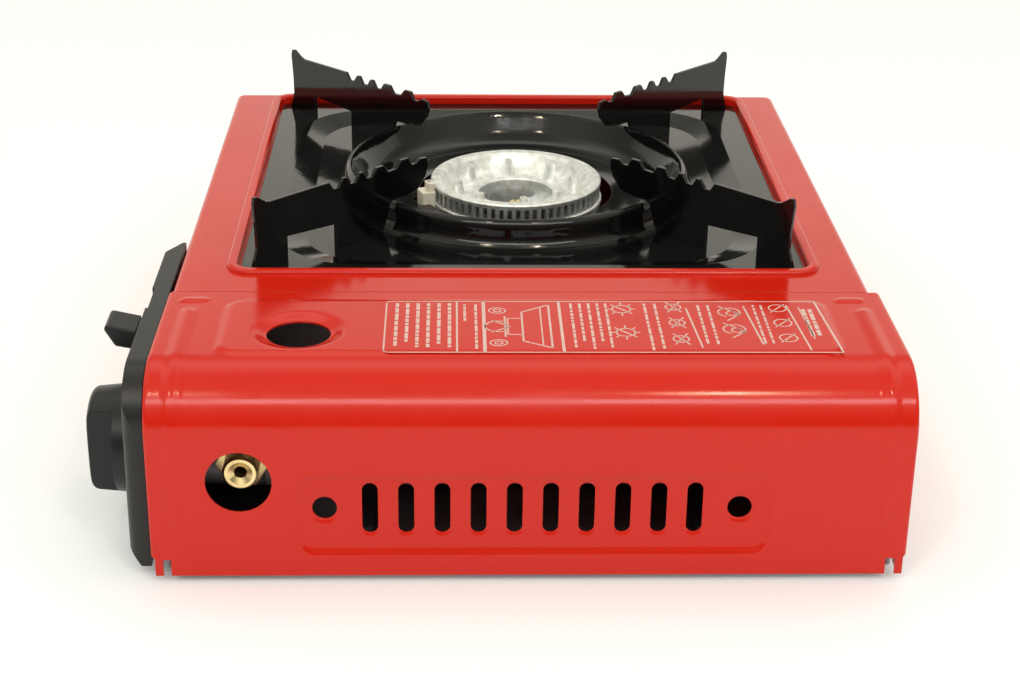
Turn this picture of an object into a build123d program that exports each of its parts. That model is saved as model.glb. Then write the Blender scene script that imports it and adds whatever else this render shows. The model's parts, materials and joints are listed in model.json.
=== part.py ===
from build123d import *
import os
from math import atan2, cos, degrees, hypot, radians, sin

# Portable gas stove with a canister bay beside the burner. The origin is under the middle of
# the whole object, on the surface it stands on. +X points to the canister end, +Y to the back
# and +Z up; the controls face -Y. Lengths are in millimetres.

os.makedirs("parts", exist_ok=True)

# ---------------------------------------------------------------- driving dimensions
# Casing
sheet = 0.8                   # painted sheet steel
left_x = -172.85              # outside of the end wall beside the burner
split_x = 90.15               # where the lid meets the fixed top
lid_x = 172.15                # outside of the lid's end face
wall_end_x = 155.0            # end of the fixed front and back walls beside the canister
case_front_y = -125.85
case_back_y = 148.55
top_z = 82.0
skirt_z = 4.0                 # lower edge of the fixed walls
case_corner_r = 4.0
top_edge_r = 2.4
split_gap = 0.4
bay_wall_z = 77.0             # top of the walls beside the canister
bay_wall_r = 18.0
ledge_z = 79.6                # ledge under the lid's free edge

# Pan opening and drip pan
burner_x = -48.6
burner_y = 12.8
well_half_x = 116.4           # half sizes of the opening in the top
well_half_y = 115.6
well_r = 6.0
collar_w = 4.6
collar_z = 83.7
collar_round = 1.5
pan_ledge_z = 79.0
pan_z = 80.0                  # upper side of the pan's flange
pan_gap = 0.9
pan_half_x = 105.0            # half sizes of the pressed recess
pan_half_y = 102.0
pan_r = 36.0
pan_slope = 11.0              # plan width of the recess's sloping side
pan_floor_z = 77.0
rim_r = 75.5                  # crest of the raised ring around the burner
rim_z = 88.6
ring_foot_r = 81.5            # where the ring's outer slope meets the pan's floor
bowl_r = 65.0
bowl_z = 75.2
burner_hole_r = 44.0

# Pot supports
support_t = 1.4
horn_z = 110.0
pot_z = 106.6
tooth_z = 103.2               # bottom of the gaps between the teeth
rest_lift = 0.05              # clearance under a support's feet

# Lid
lid_front_y = -126.95
lid_back_y = 152.15
lid_bottom_z = 2.9
lid_edge_r = 23.5             # large bend between the lid's top and its end face
lid_flange = 7.0
lid_corner_r = 1.6
hinge_x = 165.15
hinge_z = 8.0
hinge_pin_r = 2.0
lug_ys = (-121.0, 146.3)      # middle planes of the tray's hinge lugs
lug_t = 1.2
running_gap = 0.05
port_hole_x = 128.55          # dished hole in the top over the canister's collar
port_hole_y = -73.65
field_x = 124.4               # raised field on the lid's top
field_y = 12.45
field_w = 51.5
field_d = 231.4
field_h = 0.9
recess_y = 13.6               # recessed field on the lid's end face
recess_z = 28.0
recess_depth = 1.4
bead_h = 0.7
bead_w = 5.0
long_bead_y = (-116.95, 142.35)
short_bead_y = (-115.85, 138.5)
vent_mid_y = 13.1
vent_z = 30.2

# Gas controls: one axis for the knob, the valve and the canister
gas_x = 135.25
gas_z = 41.5
port_y = -93.6                # side ports of the regulator
canister_r = 33.0
barrel_r = 17.0               # regulator barrel around the valve
barrel_front_y = -116.0
barrel_back_y = -86.0
post_x = 15.5                 # posts that stand the regulator off the front wall
cap_y = -105.5
cap_r = 19.0                  # regulator chamber
cap_z = 60.0
cover_screw_r = 16.2          # radius of the cover's screw circle
socket_r = 18.0
seal_r = 8.2
probe_bore_r = 3.0
jet_r = 1.5
spindle_r = 4.0
knob_r = 20.5
knob_face_y = -152.15
knob_back_y = -136.5
knob_skirt_y = -141.5
knob_grip_half = 11.0
knob_turn = 130.0             # degrees from off to the ignition stop
cam_r = 6.5
cam_lift = 5.0
cam_gap = 0.3

# Control panel
panel_left_x = 31.65
panel_right_x = 168.15
panel_back_y = -127.35
panel_front_y = -135.65
panel_top_z = 79.8
panel_bottom_z = 4.7
panel_t = 2.0
boss_spots = ((50.0, 62.0), (50.0, 20.0), (108.0, 20.0), (150.0, 20.0))

# Canister lock
lever_x = 99.15
lever_w = 16.0
lever_drop = 18.0
tongue_z = 66.4
tongue_h = 4.0
lever_slot_z = (46.0, 73.0)
panel_slot_z = (44.8, 73.0)
slide_throw = 5.0
pin_y = -108.0
pin_z = 45.0
pin_r = 1.5
guide_half = 3.2              # half width of the lever's channel
guide_z = (19.5, 77.0)
slide_z0 = 7.4
slide_z1 = 8.6
slide_x = (100.0, 110.0)
slide_back_y = 120.0

# Tray and feet
tray_z = 4.0
tray_wall_z = 16.0
foot_xs = (-150.0, 130.0)
foot_half_y = 112.0
foot_stem_r = 2.6
foot_head_h = 1.5

# Burner
head_seat_z = 71.5
channel_z = 56.0              # underside of the cast gas channel
port_count = 64
port_z = 76.2
mixing_r = 9.0
mixing_wall = 1.0
mouth_x = 92.0
post_ring_r = 26.5            # row of small posts inside the burner's head
pad_half = 24.0               # pads that carry the burner on its bracket
screw_r = 1.6
strap_w = 14.0
strap_t = 1.2
strap_z = 50.6
strap_foot = 54.0

# Spark ignition
igniter_angle = -70.0
igniter_r = 41.9
electrode_r = 0.8
electrode_foot_z = 50.0
lead_r = 1.25
lead_y = -121.9
lead_plug_z = 12.0
piezo_y = -121.0
piezo_half_x = 6.5
plunger_r = 2.5

# Vents in the casing
vent_slot_h = 26.0
vent_slot_w = 4.5
vent_pitch = 16.0
vent_mid_z = 44.0

# ---------------------------------------------------------------- derived sizes
tray_top_z = tray_z + sheet
mid_y = (case_front_y + case_back_y) / 2
case_depth = case_back_y - case_front_y
wall_in_front = case_front_y + sheet
wall_in_back = case_back_y - sheet
lid_depth = lid_back_y - lid_front_y
divider_x = 85.2
foot_ys = (mid_y - foot_half_y, mid_y + foot_half_y)
tray_left = left_x + sheet + 0.1
tray_front = wall_in_front + 0.1
tray_back = wall_in_back - 0.1
strap_low_z = tray_top_z + strap_t / 2 + 0.02
strap_top_z = tray_top_z + strap_t + 0.02
lead_floor_z = tray_top_z + lead_r + 0.2
plunger_top = gas_z - cam_r - cam_gap
ear_x = lever_x + 3.5


# ---------------------------------------------------------------- helpers
def at_y(y):
    """Plane across the stove at y: local x is X, local y is Z, extrusion runs to the front."""
    return Plane.XZ.offset(-y)


def at_x(x):
    """Plane across the stove at x: local x is Y, local y is Z, extrusion runs to +X."""
    return Plane.YZ.offset(x)


def block(x0, x1, y0, y1, z0, z1, mode=Mode.ADD):
    """Box between two corners, in the part being built."""
    with Locations(((x0 + x1) / 2, (y0 + y1) / 2, (z0 + z1) / 2)):
        Box(x1 - x0, y1 - y0, z1 - z0, mode=mode)


def rod_z(x, y, radius, z0, z1, mode=Mode.ADD):
    """Upright cylinder from z0 to z1."""
    with Locations((x, y, (z0 + z1) / 2)):
        Cylinder(radius, z1 - z0, mode=mode)


def rod_y(x, z, radius, y0, y1, mode=Mode.ADD):
    """Cylinder along Y from y0 to y1."""
    with Locations((x, (y0 + y1) / 2, z)):
        Cylinder(radius, y1 - y0, rotation=(90, 0, 0), mode=mode)


def rod_x(y, z, radius, x0, x1, mode=Mode.ADD):
    """Cylinder along X from x0 to x1."""
    with Locations(((x0 + x1) / 2, y, z)):
        Cylinder(radius, x1 - x0, rotation=(0, 90, 0), mode=mode)


def burner_polar(radius, angle):
    """Point in plan at a radius and an angle in degrees from +X around the burner."""
    return (burner_x + radius * cos(radians(angle)), burner_y + radius * sin(radians(angle)))


# ---------------------------------------------------------------- fixed casing
with BuildPart() as body_shell:
    with BuildSketch(Plane.XY.offset(skirt_z)) as case_plan:
        with Locations(((left_x + wall_end_x) / 2, mid_y)):
            Rectangle(wall_end_x - left_x, case_depth)
        fillet(case_plan.vertices().group_by(Axis.X)[0], case_corner_r)
    extrude(amount=top_z - skirt_z)
    fillet(body_shell.faces().sort_by(Axis.Z)[-1].edges().filter_by_position(
        Axis.X, left_x, wall_end_x - 1), top_edge_r)
    open_bottom = body_shell.faces().sort_by(Axis.Z)[0]
    open_end = body_shell.faces().sort_by(Axis.X)[-1]
    offset(amount=-sheet, openings=[open_bottom, open_end])
    # The canister bay is open at the top and at its end.
    with BuildSketch(at_y(case_back_y + 1)) as bay_cut:
        with BuildLine():
            Polyline((wall_end_x + 1, bay_wall_z - bay_wall_r), (wall_end_x + 1, top_z + 1),
                     (split_x - split_gap, top_z + 1), (split_x - split_gap, bay_wall_z),
                     (wall_end_x - bay_wall_r, bay_wall_z))
            RadiusArc((wall_end_x - bay_wall_r, bay_wall_z),
                      (wall_end_x, bay_wall_z - bay_wall_r), bay_wall_r)
            Line((wall_end_x, bay_wall_z - bay_wall_r), (wall_end_x + 1, bay_wall_z - bay_wall_r))
        make_face()
    extrude(amount=case_depth + 2, mode=Mode.SUBTRACT)
    block(split_x - split_gap - sheet, split_x - split_gap, wall_in_front, wall_in_back,
          ledge_z, top_z - sheet)
    # Well for the drip pan, with a raised rolled collar and a ledge inside it.
    with BuildSketch(Plane.XY.offset(top_z - 2 * sheet)) as well:
        with Locations((burner_x, burner_y)):
            RectangleRounded(2 * well_half_x, 2 * well_half_y, well_r)
    extrude(amount=3 * sheet, mode=Mode.SUBTRACT)
    with BuildSketch(Plane.XY.offset(top_z - sheet)) as collar:
        with Locations((burner_x, burner_y)):
            RectangleRounded(2 * (well_half_x + collar_w), 2 * (well_half_y + collar_w),
                             well_r + collar_w)
            RectangleRounded(2 * well_half_x, 2 * well_half_y, well_r, mode=Mode.SUBTRACT)
    extrude(amount=collar_z - top_z + sheet)
    fillet(body_shell.edges().filter_by_position(Axis.Z, collar_z - 0.01, collar_z + 0.01), collar_round)
    with BuildSketch(Plane.XY.offset(pan_ledge_z - sheet)) as well_wall:
        with Locations((burner_x, burner_y)):
            RectangleRounded(2 * (well_half_x + sheet), 2 * (well_half_y + sheet), well_r + sheet)
            RectangleRounded(2 * well_half_x, 2 * well_half_y, well_r, mode=Mode.SUBTRACT)
    extrude(amount=top_z - pan_ledge_z + sheet / 2)
    with BuildSketch(Plane.XY.offset(pan_ledge_z - sheet)) as well_ledge:
        with Locations((burner_x, burner_y)):
            RectangleRounded(2 * (well_half_x + sheet), 2 * (well_half_y + sheet), well_r + sheet)
            RectangleRounded(2 * pan_half_x + 4, 2 * pan_half_y + 4, pan_r + 2,
                             mode=Mode.SUBTRACT)
    extrude(amount=sheet)
    # Vents in the end and back walls.
    with BuildSketch(at_x(left_x - 1)) as end_vents:
        with Locations((mid_y, vent_mid_z)):
            with GridLocations(vent_pitch, 1, 9, 1):
                SlotOverall(vent_slot_h, vent_slot_w, rotation=90)
    extrude(amount=4, mode=Mode.SUBTRACT)
    with BuildSketch(at_y(case_back_y + 1)) as back_vents:
        with Locations((burner_x, vent_mid_z)):
            with GridLocations(vent_pitch, 1, 11, 1):
                SlotOverall(vent_slot_h, vent_slot_w, rotation=90)
        with Locations((gas_x - 14, 34)):
            with GridLocations(14, 1, 4, 1):
                SlotOverall(22, vent_slot_w, rotation=90)
    extrude(amount=4, mode=Mode.SUBTRACT)
    # Openings in the front wall for the spindle, the lever and their screws.
    with BuildSketch(at_y(wall_in_front + 1)) as front_holes:
        with Locations((gas_x, gas_z)):
            Circle(8)
            with GridLocations(2 * post_x, 1, 2, 1):
                Circle(1.7)
        with Locations((lever_x, sum(lever_slot_z) / 2)):
            Rectangle(4.4, lever_slot_z[1] - lever_slot_z[0])
        with Locations(*boss_spots):
            Circle(1.7)
    extrude(amount=3, mode=Mode.SUBTRACT)

with BuildPart() as base_tray:
    with BuildSketch(Plane.XY.offset(tray_z)) as tray_plan:
        with Locations(((tray_left + wall_end_x) / 2, mid_y)):
            Rectangle(wall_end_x - tray_left, tray_back - tray_front)
        fillet(tray_plan.vertices().group_by(Axis.X)[0], case_corner_r - sheet)
    extrude(amount=tray_wall_z - tray_z)
    offset(amount=-sheet, openings=base_tray.faces().sort_by(Axis.Z)[-1])
    # The end wall is low where the canister lies.
    block(wall_end_x - 2, wall_end_x + 1, -112, 137, 9.5, tray_wall_z + 1, mode=Mode.SUBTRACT)
    # Air holes under the burner, and stiffening ribs.
    with BuildSketch(Plane.XY.offset(tray_z - 1)) as air_holes:
        with Locations((burner_x, burner_y)):
            with PolarLocations(24, 8):
                Circle(4)
            with PolarLocations(46, 12):
                Circle(4)
    extrude(amount=3, mode=Mode.SUBTRACT)
    with BuildSketch(Plane.XY.offset(tray_top_z)) as ribs:
        with Locations((burner_x - 80, mid_y), (52, mid_y + 80)):
            SlotOverall(100, 8, rotation=90)
    extrude(amount=1.0)
    # Lugs that carry the lid's hinge pins.
    for lug_y in lug_ys:
        with BuildSketch(at_y(lug_y + lug_t / 2)) as lug:
            with BuildLine():
                Polyline((wall_end_x - 4, tray_z), (hinge_x, tray_z - 0.6))
                ThreePointArc((hinge_x, tray_z - 0.6), (hinge_x + 4.6, hinge_z),
                              (hinge_x, 2 * hinge_z - tray_z + 0.6))
                Polyline((hinge_x, 2 * hinge_z - tray_z + 0.6), (wall_end_x - 4, 14),
                         (wall_end_x - 4, tray_z))
            make_face()
            with Locations((hinge_x, hinge_z)):
                Circle(hinge_pin_r, mode=Mode.SUBTRACT)
        extrude(amount=lug_t)
    # Screw holes for the feet.
    for foot_x in foot_xs:
        for foot_y in foot_ys:
            rod_z(foot_x, foot_y, foot_stem_r, tray_z - 1, tray_top_z + 1, mode=Mode.SUBTRACT)

with BuildPart() as rubber_feet:
    for foot_x in foot_xs:
        for foot_y in foot_ys:
            with Locations((foot_x, foot_y, 0)):
                Cone(8, 9, tray_z, align=(Align.CENTER, Align.CENTER, Align.MIN))
            rod_z(foot_x, foot_y, foot_stem_r, tray_z, tray_top_z)
            rod_z(foot_x, foot_y, 3.8, tray_top_z, tray_top_z + foot_head_h)

with BuildPart() as hinge_pins:
    for pin_head_y, pin_tail_y in ((-124.7, -119.6), (150.25, 145.0)):
        side = 1 if pin_tail_y > pin_head_y else -1
        low_y, high_y = sorted((pin_head_y, pin_tail_y))
        rod_y(hinge_x, hinge_z, hinge_pin_r, low_y, high_y)
        head_low, head_high = sorted((pin_head_y, pin_head_y - side * 0.8))
        rod_y(hinge_x, hinge_z, 3.2, head_low, head_high)

with BuildPart() as divider_wall:
    block(divider_x, divider_x + sheet, tray_front + sheet, tray_back - sheet,
          tray_top_z, ledge_z)
    block(divider_x, 98, tray_front + sheet, tray_back - sheet, ledge_z - sheet, ledge_z)
    for tab_y in (-95, 60, 120):
        block(divider_x - 9, divider_x + sheet, tab_y - 7, tab_y + 7,
              tray_top_z, tray_top_z + sheet)
    with BuildSketch(at_x(divider_x - 10)) as divider_holes:
        with Locations((port_y, gas_z)):
            Circle(12)
        with Locations((-121.9, 6.3)):
            Rectangle(8, 7)
        with Locations((12.5, 5.6)):
            Rectangle(58, 4)
        with Locations((burner_y + 14, 44)):
            with GridLocations(18, 1, 9, 1):
                SlotOverall(30, 5, rotation=90)
    extrude(amount=12, mode=Mode.SUBTRACT)

with BuildPart() as heat_plate:
    heat_t = 1.2
    block(20, 150, -14, 39, tray_top_z + 0.1, tray_top_z + 0.1 + heat_t)
    block(20, 20 + heat_t, -14, 39, tray_top_z + 0.1, 34)

# ---------------------------------------------------------------- burner
inlet_x, inlet_y = burner_polar(27, -54)

with BuildPart() as burner_head:
    with BuildSketch(Plane.XZ) as head_section:
        with BuildLine():
            Polyline((39.3, head_seat_z), (39.3, 72.8), (38.5, 73.2), (38.5, 79), (38.8, 79.4),
                     (38.8, 80.7), (38.2, 81.3), (34.4, 81.3), (33.0, 79.9))
            Spline((33.0, 79.9), (29.8, 75.4), (20.0, 73.2), tangents=[(-0.5, -1), (-1, -0.05)])
            Polyline((20.0, 73.2), (19.2, 74.4), (17.6, 74.4), (17.0, 73.8), (17.0, 70.0),
                     (19.0, 70.0), (19.0, 71.0), (29.0, 72.4), (32.4, 76.2), (33.9, 79.0),
                     (35.6, 79.0), (36.0, 78.0), (36.0, head_seat_z), (39.3, head_seat_z))
        make_face()
    revolve(axis=Axis.Z)
    with PolarLocations(37.2, port_count):
        with Locations((0, 0, port_z)):
            Box(6, 2.0, 5.6, mode=Mode.SUBTRACT)
    with PolarLocations(post_ring_r, 8, start_angle=96):
        with Locations((0, 0, 72.6)):
            Cone(3.4, 1.8, 8.0, align=(Align.CENTER, Align.CENTER, Align.MIN))
    with PolarLocations(post_ring_r, 8, start_angle=96):
        with Locations((0, 0, 79.6)):
            Cylinder(0.6, 3.0, mode=Mode.SUBTRACT)
burner_head.part.location = Location((burner_x, burner_y, 0))

with BuildPart() as burner_body:
    with BuildSketch(Plane.XZ) as channel_section:
        with BuildLine():
            Polyline((17, 70), (17, channel_z), (30, channel_z), (36, 62), (36, 70),
                     (39, 70.3), (39, head_seat_z), (35.8, head_seat_z), (33.6, 70),
                     (33.6, 63), (28.6, 58.4), (19.2, 58.4), (19.2, 70), (17, 70))
        make_face()
    revolve(axis=Axis.Z)
    with BuildSketch(Plane.XY.offset(64)) as bridge:
        with Locations(Location((0, 0, 0), (0, 0, 135))):
            Rectangle(36, 7)
            Circle(5.5)
    extrude(amount=3)
    for pad_x in (-pad_half, pad_half):
        rod_z(pad_x, 0, 5, 51.2, channel_z + 1)
    rod_z(inlet_x - burner_x, inlet_y - burner_y, mixing_r + 2.2, 54.7, channel_z + 1)
    rod_z(inlet_x - burner_x, inlet_y - burner_y, mixing_r, 50.0, 59, mode=Mode.SUBTRACT)
    rod_z(0, 0, screw_r, 63, 68, mode=Mode.SUBTRACT)
burner_body.part.location = Location((burner_x, burner_y, 0))

with BuildPart() as burner_screw:
    rod_z(burner_x, burner_y, screw_r, 60, 67)
    rod_z(burner_x, burner_y, 2.7, 67, 69.2)
    block(burner_x - 3, burner_x + 3, burner_y - 0.4, burner_y + 0.4, 68.4, 70, mode=Mode.SUBTRACT)

with BuildPart() as mixing_tube:
    with BuildLine() as mixing_route:
        FilletPolyline((mouth_x, port_y, gas_z), (28, port_y, gas_z), (inlet_x, inlet_y, gas_z),
                       (inlet_x, inlet_y, 57), radius=[45, 13])
    with BuildSketch(Plane(origin=(mouth_x, port_y, gas_z), z_dir=(-1, 0, 0))) as tube_ring:
        Circle(mixing_r)
        Circle(mixing_r - mixing_wall, mode=Mode.SUBTRACT)
    sweep()
    # Flared mouth that takes in air around the jet.
    with BuildSketch(Plane(origin=(mouth_x, port_y, gas_z), z_dir=(1, 0, 0))) as mouth_ring:
        Circle(mixing_r)
        Circle(mixing_r - mixing_wall, mode=Mode.SUBTRACT)
    with BuildSketch(Plane(origin=(mouth_x + 3, port_y, gas_z), z_dir=(1, 0, 0))) as mouth_flare:
        Circle(mixing_r + 2)
        Circle(mixing_r + 2 - mixing_wall, mode=Mode.SUBTRACT)
    loft()

with BuildPart() as burner_bracket:
    with BuildSketch(at_y(burner_y + strap_w / 2)) as strap_side:
        with BuildLine() as strap_line:
            FilletPolyline((burner_x - 60, strap_low_z), (burner_x - 46, strap_low_z),
                           (burner_x - 40, strap_z), (burner_x + 40, strap_z),
                           (burner_x + 46, strap_low_z), (burner_x + 60, strap_low_z), radius=3)
        trace(line_width=strap_t)
    extrude(amount=strap_w)
    for pad_x in (-pad_half, pad_half):
        rod_z(burner_x + pad_x, burner_y, 1.7, 49, 52, mode=Mode.SUBTRACT)
    for hole_x in (-strap_foot, strap_foot):
        rod_z(burner_x + hole_x, burner_y, 2.0, 4, 8, mode=Mode.SUBTRACT)

with BuildPart() as bracket_screws:
    for hole_x in (-strap_foot, strap_foot):
        rod_z(burner_x + hole_x, burner_y, 3.4, strap_top_z, tray_top_z + 3.4)
        rod_z(burner_x + hole_x, burner_y, 1.9, tray_top_z, strap_top_z)
    for pad_x in (-pad_half, pad_half):
        rod_z(burner_x + pad_x, burner_y, screw_r, 49.9, 51.2)
        rod_z(burner_x + pad_x, burner_y, 3.2, 48, 50.0)

# ---------------------------------------------------------------- spark ignition
igniter_x, igniter_y = burner_polar(igniter_r, igniter_angle)
ceramic_plane = Plane(origin=(burner_x, burner_y, 0), x_dir=(cos(radians(igniter_angle)),
                                                             sin(radians(igniter_angle)), 0),
                      z_dir=(0, 0, 1))

with BuildPart() as igniter_ceramic:
    with BuildSketch(ceramic_plane.offset(56)) as ceramic_foot:
        with Locations((43.3, 0)):
            RectangleRounded(6.2, 8.5, 1)
    extrude(amount=23.8)
    with BuildSketch(ceramic_plane.offset(79.8)) as ceramic_tip:
        with Locations((igniter_r, 0.6)):
            RectangleRounded(3.4, 5.4, 0.8)
    extrude(amount=4.0)
    rod_z(igniter_x, igniter_y, electrode_r, electrode_foot_z, 90, mode=Mode.SUBTRACT)

with BuildPart() as igniter_rod:
    rod_z(igniter_x, igniter_y, electrode_r, electrode_foot_z, 84.6)

with BuildPart() as igniter_bracket:
    with BuildSketch(ceramic_plane.offset(60)) as bracket_plan:
        with Locations((43.1, 0)):
            RectangleRounded(13.8, 13, 1.5)
        with Locations((43.3, 0)):
            RectangleRounded(6.2, 8.5, 1, mode=Mode.SUBTRACT)
    extrude(amount=1.2)
    with BuildSketch(ceramic_plane.offset(61.2)) as bracket_tab:
        with Locations((36.8, 0)):
            Rectangle(1.2, 10)
    extrude(amount=7)

with BuildPart() as spark_lead:
    with BuildLine() as lead_route:
        FilletPolyline((igniter_x, igniter_y, electrode_foot_z),
                       (igniter_x, igniter_y, lead_floor_z), (igniter_x, lead_y, lead_floor_z),
                       (112, lead_y, lead_floor_z), (120, lead_y, lead_plug_z),
                       (gas_x - piezo_half_x, lead_y, lead_plug_z), radius=[16, 16, 8, 8])
    with BuildSketch(Plane(origin=(igniter_x, igniter_y, electrode_foot_z),
                           z_dir=(0, 0, -1))) as lead_section:
        Circle(lead_r)
    sweep()

with BuildPart() as piezo_body:
    block(gas_x - piezo_half_x, gas_x + piezo_half_x, piezo_y - 3.1, piezo_y + 3.9,
          tray_top_z, 26.5)
    fillet(piezo_body.edges().filter_by(Axis.Z), 1.2)
    rod_z(gas_x, piezo_y, 2.58, 12, 28, mode=Mode.SUBTRACT)

with BuildPart() as igniter_plunger:
    rod_z(gas_x, piezo_y, plunger_r, 18, plunger_top - plunger_r)
    with Locations((gas_x, piezo_y, plunger_top - plunger_r)):
        Sphere(plunger_r)

# ---------------------------------------------------------------- regulator and valve
with BuildPart() as regulator_body:
    rod_y(gas_x, gas_z, barrel_r, barrel_front_y, barrel_back_y)
    fillet(regulator_body.edges().filter_by(GeomType.CIRCLE), 1.5)
    for post_side in (-1, 1):
        rod_y(gas_x + post_side * post_x, gas_z, 2.8, wall_in_front, barrel_front_y + 3)
    rod_z(gas_x, cap_y, cap_r, cap_z - 5, cap_z)
    rod_z(gas_x, cap_y, 13, 50, 56)
    rod_x(port_y, gas_z, 7.4, gas_x, gas_x + 19)
    rod_x(port_y, gas_z, 7.0, gas_x - 20, gas_x)
    rod_y(gas_x, gas_z, spindle_r + running_gap, barrel_front_y - 1, -103, mode=Mode.SUBTRACT)
    rod_y(gas_x, gas_z, probe_bore_r, -97, barrel_back_y + 1, mode=Mode.SUBTRACT)
    rod_x(port_y, gas_z, 2.35, gas_x, gas_x + 20, mode=Mode.SUBTRACT)
    rod_x(port_y, gas_z, jet_r, gas_x - 21, gas_x, mode=Mode.SUBTRACT)
    rod_z(gas_x, cap_y, 1.5, gas_z + 5, 61, mode=Mode.SUBTRACT)
    for post_side in (-1, 1):
        rod_y(gas_x + post_side * post_x, gas_z, 1.5, wall_in_front - 1, -118, mode=Mode.SUBTRACT)
    with Locations((gas_x, cap_y, cap_z)):
        with PolarLocations(cover_screw_r, 4, start_angle=45):
            Cylinder(1.2, 8, mode=Mode.SUBTRACT)

with BuildPart() as regulator_screws:
    for post_side in (-1, 1):
        rod_y(gas_x + post_side * post_x, gas_z, 1.5, case_front_y, -118.2)
        rod_y(gas_x + post_side * post_x, gas_z, 3.0, case_front_y - 1.3, case_front_y)

with BuildPart() as regulator_diaphragm:
    rod_z(gas_x, cap_y, cap_r, cap_z, cap_z + 1)
    with Locations((gas_x, cap_y, cap_z + 0.5)):
        with PolarLocations(cover_screw_r, 4, start_angle=45):
            Cylinder(1.3, 2, mode=Mode.SUBTRACT)

with BuildPart() as regulator_cover:
    with BuildSketch(Plane.XZ) as cover_section:
        with BuildLine():
            Polyline((11, 61), (cap_r, 61), (cap_r, 63), (13.4, 63), (12.5, 65), (12, 71.5),
                     (10, 73.5), (3, 73.5), (3, 71.8), (9.2, 71.8), (10.4, 70.5), (11, 61))
        make_face()
    revolve(axis=Axis.Z)
    with PolarLocations(cover_screw_r, 4, start_angle=45):
        with Locations((0, 0, 62)):
            Cylinder(1.3, 4, mode=Mode.SUBTRACT)
regulator_cover.part.location = Location((gas_x, cap_y, 0))

with BuildPart() as cover_screws:
    for screw_angle in (45, 135, 225, 315):
        screw_x = gas_x + cover_screw_r * cos(radians(screw_angle))
        screw_y = cap_y + cover_screw_r * sin(radians(screw_angle))
        rod_z(screw_x, screw_y, 1.2, 56.2, 63)
        rod_z(screw_x, screw_y, 2.3, 63, 64.8)

with BuildPart() as regulator_spring:
    spring_r = 6.5
    with BuildLine() as spring_coil:
        Helix(pitch=2.2, height=8.8, radius=spring_r)
    with BuildSketch(Plane(origin=spring_coil.line @ 0, z_dir=spring_coil.line % 0)) as spring_wire:
        Circle(0.6)
    sweep(is_frenet=True)
regulator_spring.part.location = Location((gas_x, cap_y, cap_z + 1.8))

with BuildPart() as canister_socket:
    rod_y(gas_x, gas_z, socket_r, barrel_back_y, -79)
    rod_y(gas_x, gas_z, seal_r, -84.5, -78, mode=Mode.SUBTRACT)
    rod_y(gas_x, gas_z, probe_bore_r, barrel_back_y - 1, -80, mode=Mode.SUBTRACT)
    fillet(canister_socket.edges().filter_by(GeomType.CIRCLE).filter_by_position(
        Axis.Y, -79.01, -78.99), 1.0)

with BuildPart() as socket_seal:
    rod_y(gas_x, gas_z, seal_r, -84.5, -82.5)
    rod_y(gas_x, gas_z, probe_bore_r, -85, -82, mode=Mode.SUBTRACT)
    fillet(socket_seal.edges().filter_by_position(Axis.Y, -82.51, -82.49), 0.6)

with BuildPart() as gas_probe:
    rod_y(gas_x, gas_z, 2.95, -94, -80.5)
    rod_y(gas_x, gas_z, 0.9, -95, -80, mode=Mode.SUBTRACT)
    fillet(gas_probe.edges().filter_by(GeomType.CIRCLE).filter_by_position(
        Axis.Y, -80.51, -80.49), 0.5)

with BuildPart() as notch_guide:
    block(gas_x - 5, gas_x + 5, -82.2, -79.2, 57.5, 60.8)
    rod_y(gas_x, gas_z, socket_r, -90, -70, mode=Mode.SUBTRACT)
    block(gas_x - 5, gas_x + 5, -82.2, -70.8, 59.6, 60.8)
    block(gas_x - 3, gas_x + 3, -72, -70.8, 55.5, 60.8)

with BuildPart() as hose_connector:
    with BuildSketch(Plane.YZ.offset(gas_x + 19)) as connector_hex:
        with Locations((port_y, gas_z)):
            RegularPolygon(8.6, 6, major_radius=False)
    extrude(amount=3)
    rod_x(port_y, gas_z, 6.1, gas_x + 22, gas_x + 23.5)
    rod_x(port_y, gas_z, 6.58, gas_x + 23.5, 165.0)
    chamfer(hose_connector.edges().filter_by_position(Axis.X, 164.9, 165.1), 0.8)
    with Locations(Location((165.0, port_y, gas_z), (0, 90, 0))):
        Cone(0.1, 4.6, 2.6, align=(Align.CENTER, Align.CENTER, Align.MAX), mode=Mode.SUBTRACT)
    rod_x(port_y, gas_z, 2.35, gas_x + 18, 166, mode=Mode.SUBTRACT)

with BuildPart() as gas_nozzle:
    with BuildSketch(Plane.YZ.offset(gas_x - 24)) as nozzle_hex:
        with Locations((port_y, gas_z)):
            RegularPolygon(5.5, 6, major_radius=False)
    extrude(amount=4)
    rod_x(port_y, gas_z, 3.6, 100.5, gas_x - 24)
    with Locations(Location((98.7, port_y, gas_z), (0, 90, 0))):
        Cone(1.6, 3.6, 3.6)
    rod_x(port_y, gas_z, 0.5, 95, 103, mode=Mode.SUBTRACT)
    rod_x(port_y, gas_z, jet_r, 103, gas_x - 19, mode=Mode.SUBTRACT)

# ---------------------------------------------------------------- knob, spindle and cam
with BuildPart() as valve_spindle:
    rod_y(gas_x, gas_z, spindle_r, -145.5, -103.5)
    block(gas_x - 5, gas_x + 5, -146, -137, gas_z + 2.6, gas_z + 5, mode=Mode.SUBTRACT)
    chamfer(valve_spindle.edges().filter_by(GeomType.CIRCLE).filter_by_position(
        Axis.Y, -103.6, -103.4), 0.6)

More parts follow.
